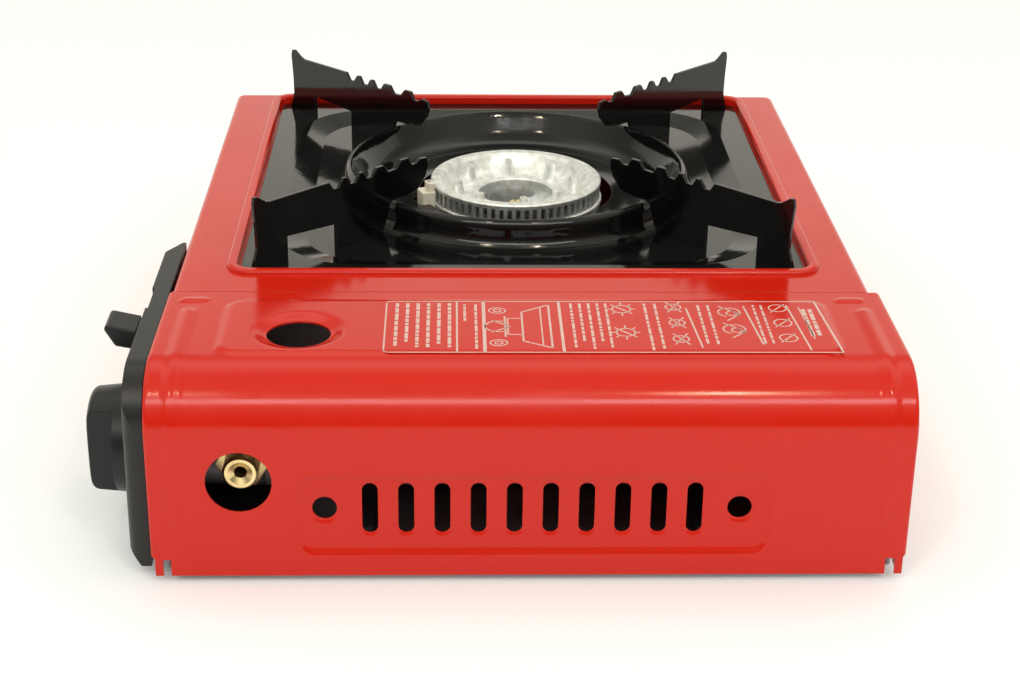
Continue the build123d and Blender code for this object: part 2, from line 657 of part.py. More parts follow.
with BuildPart() as knob:
    with BuildSketch(Plane.XY) as knob_section:
        with BuildLine():
            Line((0, knob_face_y), (14, knob_face_y + 0.35))
            Spline((14, knob_face_y + 0.35), (18.2, knob_face_y + 1.2), (19.6, knob_face_y + 3.6),
                   tangents=[(1, 0.06), (0.05, 1)])
            Polyline((19.6, knob_face_y + 3.6), (knob_r, knob_back_y - 2), (knob_r, knob_back_y),
                     (17.8, knob_back_y), (17.4, knob_skirt_y + 1.8), (8, knob_skirt_y + 1.8),
                     (8, knob_back_y - 0.4), (spindle_r, knob_back_y - 0.4), (spindle_r, -145.5),
                     (0, -145.5), (0, knob_face_y))
        make_face()
    revolve(axis=Axis.Y)
    # Two flats leave a grip across the knob's face.
    for flat_x in (-knob_r - 1, knob_grip_half):
        block(flat_x, flat_x + knob_r + 1 - knob_grip_half, knob_face_y - 1, knob_skirt_y,
              -knob_r - 1, knob_r + 1, mode=Mode.SUBTRACT)
    fillet(knob.edges().filter_by_position(Axis.Y, knob_face_y - 1, knob_skirt_y - 0.1).filter_by(
        lambda edge: abs(abs(edge.center().X) - knob_grip_half) < 0.01), 0.8)
knob.part.location = Location((gas_x, 0, gas_z))

with BuildPart() as igniter_cam:
    cam_end = knob_turn + 12
    with BuildSketch(at_y(-118.5)) as cam_outline:
        with BuildLine():
            spiral_points = []
            for turned in range(0, int(cam_end) + 1, 6):
                reach = cam_r + cam_lift * turned / knob_turn
                angle = radians(-90 - turned)
                spiral_points.append((gas_x + reach * cos(angle), gas_z + reach * sin(angle)))
            Spline(spiral_points)
            end_angle = radians(-90 - cam_end)
            base_end = (gas_x + cam_r * cos(end_angle), gas_z + cam_r * sin(end_angle))
            Line(spiral_points[-1], base_end)
            ThreePointArc(base_end, (gas_x + cam_r, gas_z), spiral_points[0])
        make_face()
        with Locations((gas_x, gas_z)):
            Circle(spindle_r, mode=Mode.SUBTRACT)
    extrude(amount=5.0)

# ---------------------------------------------------------------- control panel
with BuildPart() as control_panel:
    with BuildSketch(at_y(panel_back_y)) as panel_front_view:
        with Locations(((panel_left_x + panel_right_x) / 2, (panel_bottom_z + panel_top_z) / 2)):
            Rectangle(panel_right_x - panel_left_x, panel_top_z - panel_bottom_z)
        fillet(panel_front_view.vertices().sort_by(Axis.X)[-2:].sort_by(Axis.Y)[-1], 20)
    extrude(amount=panel_back_y - panel_front_y)
    # The front leans slightly and turns under at the bottom.
    with BuildSketch(at_x(panel_left_x)) as panel_side_view:
        Polygon((panel_back_y, panel_bottom_z), (panel_front_y + 4.6, panel_bottom_z),
                (panel_front_y, 11), (panel_front_y + 1, panel_top_z), (panel_back_y, panel_top_z),
                align=None)
    extrude(amount=panel_right_x - panel_left_x, mode=Mode.INTERSECT)
    with BuildSketch(Plane.XY) as panel_plan:
        Polygon((panel_left_x, panel_back_y), (panel_right_x, panel_back_y),
                (panel_right_x, panel_front_y), (panel_left_x + 12.5, panel_front_y),
                (panel_left_x, panel_back_y - 1.4), align=None)
        fillet(panel_plan.vertices().sort_by(Axis.X)[-2:].sort_by(Axis.Y)[0], 5.5)
    extrude(amount=panel_top_z + 1, mode=Mode.INTERSECT)
    offset(amount=-panel_t, openings=control_panel.faces().sort_by(Axis.Y)[-1])
    # Bosses that stand on the casing's front wall.
    for boss_x, boss_z in boss_spots:
        rod_y(boss_x, boss_z, 3.5, panel_front_y + 1.6, case_front_y)
        rod_y(boss_x, boss_z, 1.5, panel_front_y + 4, case_front_y + 1, mode=Mode.SUBTRACT)
    # Recesses around the knob and the lever, and their openings.
    rod_y(gas_x, gas_z, knob_r + 1.6, panel_front_y - 1, panel_front_y + 0.9, mode=Mode.SUBTRACT)
    rod_y(gas_x, gas_z, 6.0, panel_front_y - 1, panel_back_y + 1, mode=Mode.SUBTRACT)
    block(81, 101, panel_front_y - 1, panel_front_y + 2.0, 76.5, panel_top_z + 1,
          mode=Mode.SUBTRACT)
    block(lever_x - 3, lever_x + 3, panel_front_y - 1, panel_back_y + 1, *panel_slot_z,
          mode=Mode.SUBTRACT)

with BuildPart() as panel_screws:
    for boss_x, boss_z in boss_spots:
        rod_y(boss_x, boss_z, 1.5, panel_front_y + 4.4, wall_in_front)
        rod_y(boss_x, boss_z, 3.0, wall_in_front, wall_in_front + 1.4)

# ---------------------------------------------------------------- canister lock
with BuildPart() as lock_lever:
    with BuildSketch(at_x(lever_x - lever_w / 2)) as thumb_side:
        Polygon((-138.0, 64.6), (-146.2, 66.2), (-151.6, 75.6), (-138.0, 72.6), align=None)
        fillet(thumb_side.vertices().sort_by(Axis.X)[0], 1.6)
        fillet(thumb_side.vertices().sort_by(Axis.Y)[:2].sort_by(Axis.X)[0], 2.0)
    extrude(amount=lever_w)
    for side_face in (lock_lever.faces().sort_by(Axis.X)[0], lock_lever.faces().sort_by(Axis.X)[-1]):
        fillet(side_face.edges().filter_by(lambda edge: edge.center().Y < -138.5), 0.9)
    block(lever_x - 2.4, lever_x + 2.4, -139, -129, tongue_z - 3.1, tongue_z + 3.1)
    block(lever_x - 1.3, lever_x + 1.3, -134, -128, tongue_z - tongue_h / 2,
          tongue_z + tongue_h / 2, mode=Mode.SUBTRACT)

with BuildPart() as lever_plate:
    plate_half = 1.3
    with BuildSketch(at_x(lever_x - plate_half)) as plate_side:
        Polygon((-123.9, 39), (-104.2, 39), (-104.2, 62), (-108, 68.4), (-123.9, 68.4),
                align=None)
        with Locations((-128, tongue_z)):
            Rectangle(12, tongue_h)
        with Locations(Location(((pin_y - slide_throw / 2), (pin_z + lever_drop / 2), 0),
                                (0, 0, degrees(atan2(lever_drop, -slide_throw))))):
            SlotCenterToCenter(hypot(lever_drop, slide_throw),
                               2 * (pin_r + running_gap), mode=Mode.SUBTRACT)
    extrude(amount=2 * plate_half)

with BuildPart() as lever_guide:
    block(lever_x - guide_half, lever_x + guide_half, wall_in_front, -124.25, *guide_z)
    block(lever_x - 2.2, lever_x + 2.2, wall_in_front - 1, -124, *lever_slot_z, mode=Mode.SUBTRACT)
    block(lever_x - guide_half, lever_x - 1.7, -124.25, -119.8, *guide_z)
    block(lever_x + 1.7, lever_x + guide_half, -124.25, -119.8, *guide_z)

with BuildPart() as lock_slide:
    block(*slide_x, -113.5, slide_back_y, slide_z0, slide_z1)
    block(ear_x, ear_x + 1.6, -112.5, -103.5, slide_z0, 50)
    rod_x(pin_y, pin_z, pin_r, ear_x - 1, ear_x + 3, mode=Mode.SUBTRACT)
    block(slide_x[0], 150, 118.4, slide_back_y, slide_z0, 52)
    fillet(lock_slide.edges().filter_by(Axis.Y).filter_by_position(Axis.X, 149.9, 150.1), 0.7)

with BuildPart() as slide_pin:
    rod_x(pin_y, pin_z, pin_r, lever_x - 2.0, ear_x + 2)
    rod_x(pin_y, pin_z, 2.6, ear_x + 1.6, ear_x + 2.8)

with BuildPart() as pusher_pad:
    rod_y(gas_x - 4, gas_z, 10.5, 116.0, 118.4)
    fillet(pusher_pad.edges().filter_by(GeomType.CIRCLE).filter_by_position(
        Axis.Y, 115.9, 116.1), 1.0)

with BuildPart() as slide_guides:
    for guide_y in (-60, 92):
        block(97.5, 112.5, guide_y - 5, guide_y + 5, tray_top_z, slide_z1 + 1.4)
        block(99.6, 110.4, guide_y - 6, guide_y + 6, tray_top_z + 1.2, slide_z1 + 0.4,
              mode=Mode.SUBTRACT)

with BuildPart() as canister_saddles:
    for saddle_y in (-50, 80):
        block(gas_x - 18.5, gas_x + 18.5, saddle_y - 4, saddle_y + 4, tray_top_z, 12.6)
    rod_y(gas_x, gas_z, canister_r + 0.3, -70, 100, mode=Mode.SUBTRACT)

# ---------------------------------------------------------------- lid
with BuildPart() as lid_shell:
    with BuildSketch(at_y(lid_back_y)) as lid_side:
        with BuildLine():
            Line((split_x, top_z), (lid_x - lid_edge_r, top_z))
            RadiusArc((lid_x - lid_edge_r, top_z), (lid_x, top_z - lid_edge_r), lid_edge_r)
            Polyline((lid_x, top_z - lid_edge_r), (lid_x, lid_bottom_z),
                     (lid_x - lid_flange, lid_bottom_z), (lid_x - lid_flange, top_z - lid_edge_r))
            RadiusArc((lid_x - lid_flange, top_z - lid_edge_r),
                      (lid_x - lid_edge_r, top_z - lid_flange), lid_flange - lid_edge_r)
            Polyline((lid_x - lid_edge_r, top_z - lid_flange), (split_x, top_z - lid_flange),
                     (split_x, top_z))
        make_face()
    extrude(amount=lid_depth)
    front_side = lid_shell.faces().sort_by(Axis.Y)[0]
    back_side = lid_shell.faces().sort_by(Axis.Y)[-1]
    outer_edges = (front_side.edges() + back_side.edges()).filter_by(
        lambda edge: edge.center().X > lid_x - 0.1 or edge.center().Z > top_z - 0.1
        or (edge.geom_type == GeomType.CIRCLE and edge.radius > lid_edge_r - 1))
    fillet(outer_edges, lid_corner_r)
    inner_faces = lid_shell.faces().filter_by(
        lambda face: face.center().Z < lid_bottom_z + 0.1 or face.center().X < split_x + 0.1
        or (face.geom_type == GeomType.PLANE and abs(face.normal_at().Y) < 0.1
            and (face.normal_at().X < -0.9 or face.normal_at().Z < -0.9))
        or (face.geom_type == GeomType.CYLINDER
            and abs(face.radius - (lid_edge_r - lid_flange)) < 0.01))
    offset(amount=-sheet, openings=inner_faces)
    # Raised field on the top, with a dished hole over the canister's collar.
    with BuildSketch(Plane.XY.offset(top_z - sheet / 2)) as field:
        with Locations((field_x, field_y)):
            RectangleRounded(field_w, field_d, 8)
    extrude(amount=sheet / 2 + field_h, taper=30)
    rod_z(port_hole_x, port_hole_y, 18.6, top_z - 2.4, top_z)
    with Locations((port_hole_x, port_hole_y, top_z + field_h + 0.01)):
        Cone(12.6, 17.6, 2.0, align=(Align.CENTER, Align.CENTER, Align.MAX), mode=Mode.SUBTRACT)
    rod_z(port_hole_x, port_hole_y, 12.04, top_z - 3, top_z + 2, mode=Mode.SUBTRACT)
    # Recessed field on the end face, with its vents and two dished holes.
    block(lid_x - 2.6, lid_x - sheet / 2, -76.5, 103.7, 8.6, 47.4)
    with BuildSketch(at_x(lid_x - recess_depth)) as recess:
        with Locations((recess_y, recess_z)):
            RectangleRounded(170, 28.5, 5)
    with BuildSketch(at_x(lid_x + 0.01)) as recess_rim:
        with Locations((recess_y, recess_z)):
            RectangleRounded(174.5, 33, 7)
    loft(sections=[recess.sketch, recess_rim.sketch], mode=Mode.SUBTRACT)
    with BuildSketch(at_x(lid_x - 4)) as vents:
        with Locations((vent_mid_y, vent_z)):
            with GridLocations(13.2, 1, 10, 1):
                SlotOverall(20.4, 5.8, rotation=90)
            with GridLocations(151.9, 1, 2, 1):
                Circle(4.5)
        with Locations((port_y, gas_z)):
            Circle(12.05)
    extrude(amount=6, mode=Mode.SUBTRACT)
    # Pressed beads: a short pair on the top and a long pair that run over the bend.
    for bead_y in short_bead_y:
        with BuildSketch(Plane.XY.offset(top_z - 0.1)) as short_bead:
            with Locations((98.2, bead_y)):
                SlotOverall(9.6, 3.2, rotation=90)
        extrude(amount=bead_h + 0.1)
    for bead_y in long_bead_y:
        with BuildSketch(at_y(bead_y + bead_w / 2)) as long_bead:
            with BuildLine():
                Line((106, top_z - 0.2), (106.8, top_z + bead_h))
                Line((106.8, top_z + bead_h), (lid_x - lid_edge_r, top_z + bead_h))
                RadiusArc((lid_x - lid_edge_r, top_z + bead_h),
                          (lid_x + bead_h, top_z - lid_edge_r), lid_edge_r + bead_h)
                Polyline((lid_x + bead_h, top_z - lid_edge_r), (lid_x + bead_h, 25),
                         (lid_x - 0.2, 24), (lid_x - 0.2, top_z - lid_edge_r))
                RadiusArc((lid_x - 0.2, top_z - lid_edge_r),
                          (lid_x - lid_edge_r, top_z - 0.2), 0.2 - lid_edge_r)
                Line((lid_x - lid_edge_r, top_z - 0.2), (106, top_z - 0.2))
            make_face()
        extrude(amount=bead_w)
    # Hinge ears bent in from the end face, beside slots that clear the tray's lugs.
    for ear_y in (-123.6, 150.0):
        with BuildSketch(at_y(ear_y)) as ear:
            with BuildLine():
                Polyline((lid_x - 0.1, hinge_z + 4.8), (hinge_x, hinge_z + 4.8))
                ThreePointArc((hinge_x, hinge_z + 4.8), (hinge_x - 4.8, hinge_z),
                              (hinge_x, hinge_z - 4.8))
                Polyline((hinge_x, hinge_z - 4.8), (lid_x - 0.1, hinge_z - 4.8),
                         (lid_x - 0.1, hinge_z + 4.8))
            make_face()
            with Locations((hinge_x, hinge_z)):
                Circle(hinge_pin_r + running_gap, mode=Mode.SUBTRACT)
        extrude(amount=sheet)
    block(lid_x - 3, lid_x + 1, -122.45, -119.55, 0, 9.5, mode=Mode.SUBTRACT)
    block(lid_x - 3, lid_x + 1, 144.5, 148.1, 0, 9.5, mode=Mode.SUBTRACT)
    block(lid_x - 9, lid_x + 1, lid_front_y - 1, -125.4, 0, 10, mode=Mode.SUBTRACT)
    block(lid_x - 9, lid_x + 1, 151.0, lid_back_y + 1, 0, 10, mode=Mode.SUBTRACT)

# ---------------------------------------------------------------- drip pan and pot supports
with BuildPart() as pan_above:
    with BuildSketch(Plane.XY.offset(pan_z)) as recess_top:
        with Locations((burner_x, burner_y)):
            RectangleRounded(2 * pan_half_x, 2 * pan_half_y, pan_r)
    with BuildSketch(Plane.XY.offset(pan_floor_z)) as recess_bottom:
        with Locations((burner_x, burner_y)):
            RectangleRounded(2 * (pan_half_x - pan_slope), 2 * (pan_half_y - pan_slope), 30)
    loft(sections=[recess_bottom.sketch, recess_top.sketch])

with BuildPart() as drip_pan:
    with BuildSketch(Plane.XY.offset(pan_z - sheet)) as pan_flange:
        with Locations((burner_x, burner_y)):
            RectangleRounded(2 * (well_half_x - pan_gap), 2 * (well_half_y - pan_gap),
                             well_r - pan_gap)
    extrude(amount=sheet)
    add(pan_above.part.moved(Location((0, 0, -sheet))))
    add(pan_above.part, mode=Mode.SUBTRACT)
    rod_z(burner_x, burner_y, ring_foot_r - 0.5, 70, pan_z + 1, mode=Mode.SUBTRACT)
    with BuildSketch(Plane(origin=(burner_x, burner_y, 0), x_dir=(1, 0, 0),
                           z_dir=(0, -1, 0))) as ring_section:
        with BuildLine():
            Polyline((ring_foot_r, pan_floor_z), (80.2, 77.3))
            Spline((80.2, 77.3), (78.2, 80.5), (rim_r + 1.4, rim_z - 0.9), (rim_r, rim_z),
                   (rim_r - 1.4, rim_z - 1.2), (70.5, 81.0), (bowl_r, 76.0), (58, bowl_z),
                   (burner_hole_r, bowl_z), tangents=[(-0.7, 0.7), (-1, 0)])
            Polyline((burner_hole_r, bowl_z), (burner_hole_r, bowl_z - sheet))
            Spline((burner_hole_r, bowl_z - sheet), (58, bowl_z - sheet), (65.4, 75.2),
                   (71.2, 80.4), (rim_r - 0.8, rim_z - 1.8), (rim_r, rim_z - 1.1),
                   (rim_r + 0.7, rim_z - 1.7), (77.4, 80.3), (79.6, 76.6),
                   tangents=[(1, 0), (0.7, -0.7)])
            Polyline((79.6, 76.6), (80.4, pan_floor_z - sheet),
                     (ring_foot_r, pan_floor_z - sheet), (ring_foot_r, pan_floor_z))
        make_face()
    revolve(axis=Axis((burner_x, burner_y, 0), (0, 0, 1)))
    # Notch for the spark electrode.
    with BuildSketch(ceramic_plane.offset(70)) as electrode_notch:
        with Locations((44.4, 0)):
            RectangleRounded(8, 12, 2)
    extrude(amount=12, mode=Mode.SUBTRACT)

support_outline = ((58.0, 96.3), (56.3, 101.0), (57.2, 104.2), (61.2, 104.6), (63.8, 103.0),
                   (66.4, tooth_z), (68.4, pot_z), (72.6, pot_z), (75.4, 103.4), (80.2, tooth_z),
                   (82.8, pot_z), (86.9, pot_z), (89.2, 103.4), (92.4, tooth_z), (94.6, pot_z),
                   (96.4, pot_z), (98.8, tooth_z), (101.8, tooth_z), (104.0, pot_z),
                   (105.8, pot_z), (108.4, tooth_z), (111.2, tooth_z), (113.6, pot_z),
                   (145.6, pot_z), (147.6, 107.2), (151.8, horn_z), (153.6, horn_z),
                   (154.2, 107.0), (153.2, 96.0), (153.0, 88.0), (155.6, pan_z + rest_lift),
                   (137.0, pan_z + rest_lift), (137.0, 89.4), (110.5, 87.6),
                   (110.5, pan_floor_z + rest_lift),
                   (84.0, pan_floor_z + rest_lift), (82.4, 80.0), (79.2, 89.0), (77.0, 90.0),
                   (70.0, 90.0), (62.6, 91.4))
support_corners = {"back_right": 45, "back_left": 135, "front_left": 225, "front_right": 315}
pot_supports = {}
for corner, angle in support_corners.items():
    side_plane = Plane(origin=(burner_x, burner_y, 0),
                       x_dir=(cos(radians(angle)), sin(radians(angle)), 0),
                       z_dir=(sin(radians(angle)), -cos(radians(angle)), 0))
    with BuildPart() as pot_support:
        with BuildSketch(side_plane.offset(-support_t / 2)) as support_side:
            Polygon(*support_outline, align=None)
            fillet(support_side.vertices().sort_by(Axis.Y)[-2:], 0.7)
        extrude(amount=support_t)
    pot_supports["pot_support_" + corner] = pot_support

# ---------------------------------------------------------------- files
pieces = {
    "body_shell": body_shell, "base_tray": base_tray, "rubber_feet": rubber_feet,
    "hinge_pins": hinge_pins, "divider_wall": divider_wall, "heat_plate": heat_plate,
    "burner_head": burner_head, "burner_body": burner_body, "burner_screw": burner_screw,
    "mixing_tube": mixing_tube, "burner_bracket": burner_bracket,
    "bracket_screws": bracket_screws, "igniter_ceramic": igniter_ceramic,
    "igniter_rod": igniter_rod, "igniter_bracket": igniter_bracket, "spark_lead": spark_lead,
    "piezo_body": piezo_body, "igniter_plunger": igniter_plunger,
    "regulator_body": regulator_body, "regulator_screws": regulator_screws,
    "regulator_diaphragm": regulator_diaphragm, "regulator_cover": regulator_cover,
    "cover_screws": cover_screws, "regulator_spring": regulator_spring,
    "canister_socket": canister_socket, "socket_seal": socket_seal, "gas_probe": gas_probe,
    "notch_guide": notch_guide, "hose_connector": hose_connector, "gas_nozzle": gas_nozzle,
    "valve_spindle": valve_spindle, "knob": knob, "igniter_cam": igniter_cam,
    "control_panel": control_panel, "panel_screws": panel_screws, "lock_lever": lock_lever,
    "lever_plate": lever_plate, "lever_guide": lever_guide, "lock_slide": lock_slide,
    "slide_pin": slide_pin, "pusher_pad": pusher_pad, "slide_guides": slide_guides,
    "canister_saddles": canister_saddles, "lid_shell": lid_shell, "drip_pan": drip_pan,
    **pot_supports,
}
for name, piece in pieces.items():
    piece.part.label = name
    export_step(piece.part, f"parts/{name}.step")
    print(name, piece.part.is_valid, len(piece.part.solids()), round(piece.part.volume))
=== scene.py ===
import math
import random

import bmesh
import bpy
from mathutils import Matrix, Vector
from mathutils.geometry import delaunay_2d_cdt
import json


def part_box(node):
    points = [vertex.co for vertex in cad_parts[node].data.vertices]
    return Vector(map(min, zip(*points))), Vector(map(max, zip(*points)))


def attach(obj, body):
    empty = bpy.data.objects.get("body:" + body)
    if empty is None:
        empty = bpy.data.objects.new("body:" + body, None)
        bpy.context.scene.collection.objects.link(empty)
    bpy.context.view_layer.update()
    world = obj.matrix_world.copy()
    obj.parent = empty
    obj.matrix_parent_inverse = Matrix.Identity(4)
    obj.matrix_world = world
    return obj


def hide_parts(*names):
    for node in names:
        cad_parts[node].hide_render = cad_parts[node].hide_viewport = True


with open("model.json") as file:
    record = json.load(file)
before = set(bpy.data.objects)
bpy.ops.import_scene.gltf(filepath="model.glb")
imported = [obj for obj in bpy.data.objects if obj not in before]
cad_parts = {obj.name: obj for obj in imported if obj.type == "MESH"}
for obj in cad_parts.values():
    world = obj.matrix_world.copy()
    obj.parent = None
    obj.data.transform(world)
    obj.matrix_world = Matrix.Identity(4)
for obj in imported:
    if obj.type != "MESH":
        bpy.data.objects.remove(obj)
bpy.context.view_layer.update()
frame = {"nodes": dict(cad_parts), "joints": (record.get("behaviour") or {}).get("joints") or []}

MM = 0.001


# ---------------------------------------------------------------- camera
CAMERA_AT = (0.7967933, -0.0169656, 0.3778028)
CAMERA_YAW = -0.0333
CAMERA_PITCH = 0.4207
CAMERA_ROLL = 0.0141
CAMERA_LENS = 68.949


def make_camera():
    """The camera looks down at the lid's end of the stove."""
    forward = Vector((-math.cos(CAMERA_PITCH) * math.cos(CAMERA_YAW),
                      -math.cos(CAMERA_PITCH) * math.sin(CAMERA_YAW),
                      -math.sin(CAMERA_PITCH)))
    level_right = forward.cross(Vector((0, 0, 1))).normalized()
    level_up = level_right.cross(forward)
    right = level_right * math.cos(CAMERA_ROLL) + level_up * math.sin(CAMERA_ROLL)
    up = level_up * math.cos(CAMERA_ROLL) - level_right * math.sin(CAMERA_ROLL)
    data = bpy.data.cameras.new("camera")
    data.sensor_width = 36
    data.lens = CAMERA_LENS
    camera = bpy.data.objects.new("camera", data)
    camera.matrix_world = Matrix((right, up, -forward)).transposed().to_4x4()
    camera.location = CAMERA_AT
    bpy.context.scene.collection.objects.link(camera)
    bpy.context.scene.camera = camera


make_camera()


# ---------------------------------------------------------------- materials
class Surface:
    """A procedural material around one Principled shader, in object coordinates."""

    def __init__(self, name, color, roughness, metallic=0.0):
        self.material = bpy.data.materials.new(name)
        self.material.use_nodes = True
        self.tree = self.material.node_tree
        self.shader = self.tree.nodes["Principled BSDF"]
        self.shader.inputs["Base Color"].default_value = (*color, 1)
        self.shader.inputs["Roughness"].default_value = roughness
        self.shader.inputs["Metallic"].default_value = metallic
        self.color = color
        self.rough = roughness
        self.color_out = None
        self.rough_out = None
        self.normal_out = None
        self.place = self.add("ShaderNodeTexCoord").outputs["Object"]

    def add(self, kind, **settings):
        node = self.tree.nodes.new(kind)
        for key, value in settings.items():
            setattr(node, key, value)
        return node

    def feed(self, node, **values):
        """Sets or links a node's inputs by name, with spaces written as underscores."""
        for key, value in values.items():
            socket = node.inputs[key.replace("_", " ")]
            if isinstance(value, bpy.types.NodeSocket):
                self.tree.links.new(value, socket)
            else:
                socket.default_value = value
        return node

    def stretched(self, scale):
        node = self.add("ShaderNodeMapping")
        self.feed(node, Vector=self.place, Scale=scale)
        return node.outputs["Vector"]

    def noise(self, scale, detail=3.0, roughness=0.55, vector=None):
        node = self.add("ShaderNodeTexNoise")
        self.feed(node, Vector=vector or self.place, Scale=scale, Detail=detail,
                  Roughness=roughness)
        return node.outputs["Fac"]

    def cells(self, scale, vector=None):
        node = self.add("ShaderNodeTexVoronoi")
        self.feed(node, Vector=vector or self.place, Scale=scale)
        return node.outputs["Distance"]

    def spread(self, value, low, high, to_low=0.0, to_high=1.0):
        """Maps low..high onto to_low..to_high, held at both ends."""
        node = self.add("ShaderNodeMapRange", clamp=True)
        self.feed(node, Value=value, From_Min=low, From_Max=high, To_Min=to_low,
                  To_Max=to_high)
        return node.outputs["Result"]

    def times(self, a, b):
        node = self.add("ShaderNodeMath", operation="MULTIPLY")
        self.tree.links.new(a, node.inputs[0])
        if isinstance(b, bpy.types.NodeSocket):
            self.tree.links.new(b, node.inputs[1])
        else:
            node.inputs[1].default_value = b
        return node.outputs[0]

    def edges(self, radius, low=0.02, high=0.25):
        """One along convex and concave edges, none on flat faces."""
        rounded = self.add("ShaderNodeBevel", samples=4)
        rounded.inputs["Radius"].default_value = radius
        face = self.add("ShaderNodeNewGeometry")
        dot = self.add("ShaderNodeVectorMath", operation="DOT_PRODUCT")
        self.tree.links.new(rounded.outputs["Normal"], dot.inputs[0])
        self.tree.links.new(face.outputs["Normal"], dot.inputs[1])
        return self.spread(dot.outputs["Value"], 1 - low, 1 - high)

    def tint(self, factor, color):
        """Lays a colour over what is there, by factor."""
        node = self.add("ShaderNodeMix", data_type="RGBA")
        self.tree.links.new(factor, node.inputs["Factor"])
        under, over = node.inputs[6], node.inputs[7]
        if self.color_out is None:
            under.default_value = (*self.color, 1)
        else:
            self.tree.links.new(self.color_out, under)
        over.default_value = (*color, 1)
        self.color_out = node.outputs[2]
        return self

    def shift_rough(self, factor, roughness):
        """Moves the roughness towards a value, by factor."""
        node = self.add("ShaderNodeMix", data_type="FLOAT")
        self.tree.links.new(factor, node.inputs["Factor"])
        if self.rough_out is None:
            node.inputs[2].default_value = self.rough
        else:
            self.tree.links.new(self.rough_out, node.inputs[2])
        node.inputs[3].default_value = roughness
        self.rough_out = node.outputs[0]
        return self

    def bump(self, height, depth_mm, strength=1.0):
        node = self.add("ShaderNodeBump")
        self.feed(node, Height=height, Strength=strength, Distance=depth_mm * MM)
        if self.normal_out is not None:
            self.tree.links.new(self.normal_out, node.inputs["Normal"])
        self.normal_out = node.outputs["Normal"]
        return self

    def soften(self, radius_mm):
        """Rounds the look of sharp edges."""
        node = self.add("ShaderNodeBevel", samples=4)
        node.inputs["Radius"].default_value = radius_mm * MM
        self.normal_out = node.outputs["Normal"]
        return self

    def done(self, **values):
        for socket, out in (("Base Color", self.color_out), ("Roughness", self.rough_out),
                            ("Normal", self.normal_out)):
            if out is not None:
                self.tree.links.new(out, self.shader.inputs[socket])
        for key, value in values.items():
            self.shader.inputs[key.replace("_", " ")].default_value = value
        return self.material


def red_enamel():
    """Glossy sprayed red over steel: orange peel, faint dust and lighter edges, which are a painted
    highlight.
    """
    s = Surface("red_enamel", (0.60, 0.0130, 0.0030), 0.13)
    s.soften(0.35)
    s.tint(s.spread(s.noise(9, 2), 0.35, 0.65, 0.0, 0.35), (0.57, 0.0115, 0.0026))
    # Lighter tint along the edges: a painted highlight.
    s.tint(s.times(s.edges(0.5 * MM), 0.30), (0.66, 0.060, 0.026))
    s.tint(s.spread(s.noise(2600, 1), 0.66, 0.80, 0.0, 0.25), (0.60, 0.06, 0.03))
    s.shift_rough(s.spread(s.noise(28, 4), 0.40, 0.70), 0.22)
    s.bump(s.noise(420, 2), 0.05, 0.35)
    return s.done(IOR=1.42)


def black_enamel():
    """Fired black enamel: deep gloss, fine ripple, a little dust, and lighter thin edges as a
    painted highlight.
    """
    s = Surface("black_enamel", (0.0030, 0.0030, 0.0032), 0.07)
    s.soften(0.45)
    # Lighter tint along the edges: a painted highlight.
    s.tint(s.times(s.edges(0.45 * MM), 0.55), (0.075, 0.073, 0.070))
    s.tint(s.spread(s.noise(1900, 1), 0.68, 0.80, 0.0, 0.5), (0.06, 0.06, 0.058))
    s.shift_rough(s.spread(s.noise(35, 4), 0.42, 0.68), 0.14)
    s.bump(s.noise(260, 3), 0.06, 0.45)
    return s.done(IOR=1.45)


def cast_burner():
    """Die-cast aluminium, shot-blasted: warm grey, granular, with a painted highlight brightening
    its rims.
    """
    s = Surface("cast_burner", (0.93, 0.95, 0.96), 0.46, 1.0)
    s.soften(0.35)
    s.tint(s.spread(s.noise(260, 4), 0.40, 0.62), (0.74, 0.75, 0.72))
    # Brighter tint along rims and edges: a painted highlight.
    s.tint(s.times(s.edges(0.5 * MM), 0.7), (0.95, 0.95, 0.92))
    s.tint(s.spread(s.noise(55, 3), 0.56, 0.70, 0.0, 0.35), (0.50, 0.46, 0.38))
    s.shift_rough(s.spread(s.noise(900, 2), 0.45, 0.60), 0.52)
    s.bump(s.noise(1500, 3), 0.10, 0.7)
    return s.done()


def brass():
    """Turned brass: fine tool rings, golden, darker in random patches, with a painted highlight
    along its edges.
    """
    s = Surface("brass", (0.90, 0.72, 0.36), 0.26, 1.0)
    s.soften(0.25)
    s.tint(s.spread(s.noise(240, 3), 0.45, 0.66), (0.74, 0.56, 0.26))
    # Lighter tint along the edges: a painted highlight.
    s.tint(s.times(s.edges(0.4 * MM), 0.6), (1.0, 0.86, 0.50))
    rings = s.noise(60, 2, vector=s.stretched((60.0, 1.0, 1.0)))
    s.shift_rough(s.spread(rings, 0.4, 0.6), 0.32)
    s.bump(rings, 0.03, 0.5)
    return s.done()


def steel(name, color, rough, grain=(1.0, 40.0, 1.0), spots=(0.30, 0.30, 0.31)):
    """Rolled or drawn steel sheet with a directional grain, faint spots and a painted highlight
    along its edges.
    """
    s = Surface(name, color, rough, 1.0)
    s.soften(0.3)
    line = s.noise(45, 4, vector=s.stretched(grain))
    s.tint(s.spread(line, 0.35, 0.65, 0.0, 0.30), tuple(c * 0.72 for c in color))
    s.tint(s.spread(s.noise(60, 5), 0.60, 0.72, 0.0, 0.45), spots)
    # Lighter tint along the edges: a painted highlight.
    s.tint(s.times(s.edges(0.4 * MM), 0.5), tuple(min(1.0, c * 1.35) for c in color))
    s.shift_rough(s.spread(line, 0.40, 0.62), min(1.0, rough + 0.16))
    s.bump(line, 0.03, 0.5)
    return s.done()


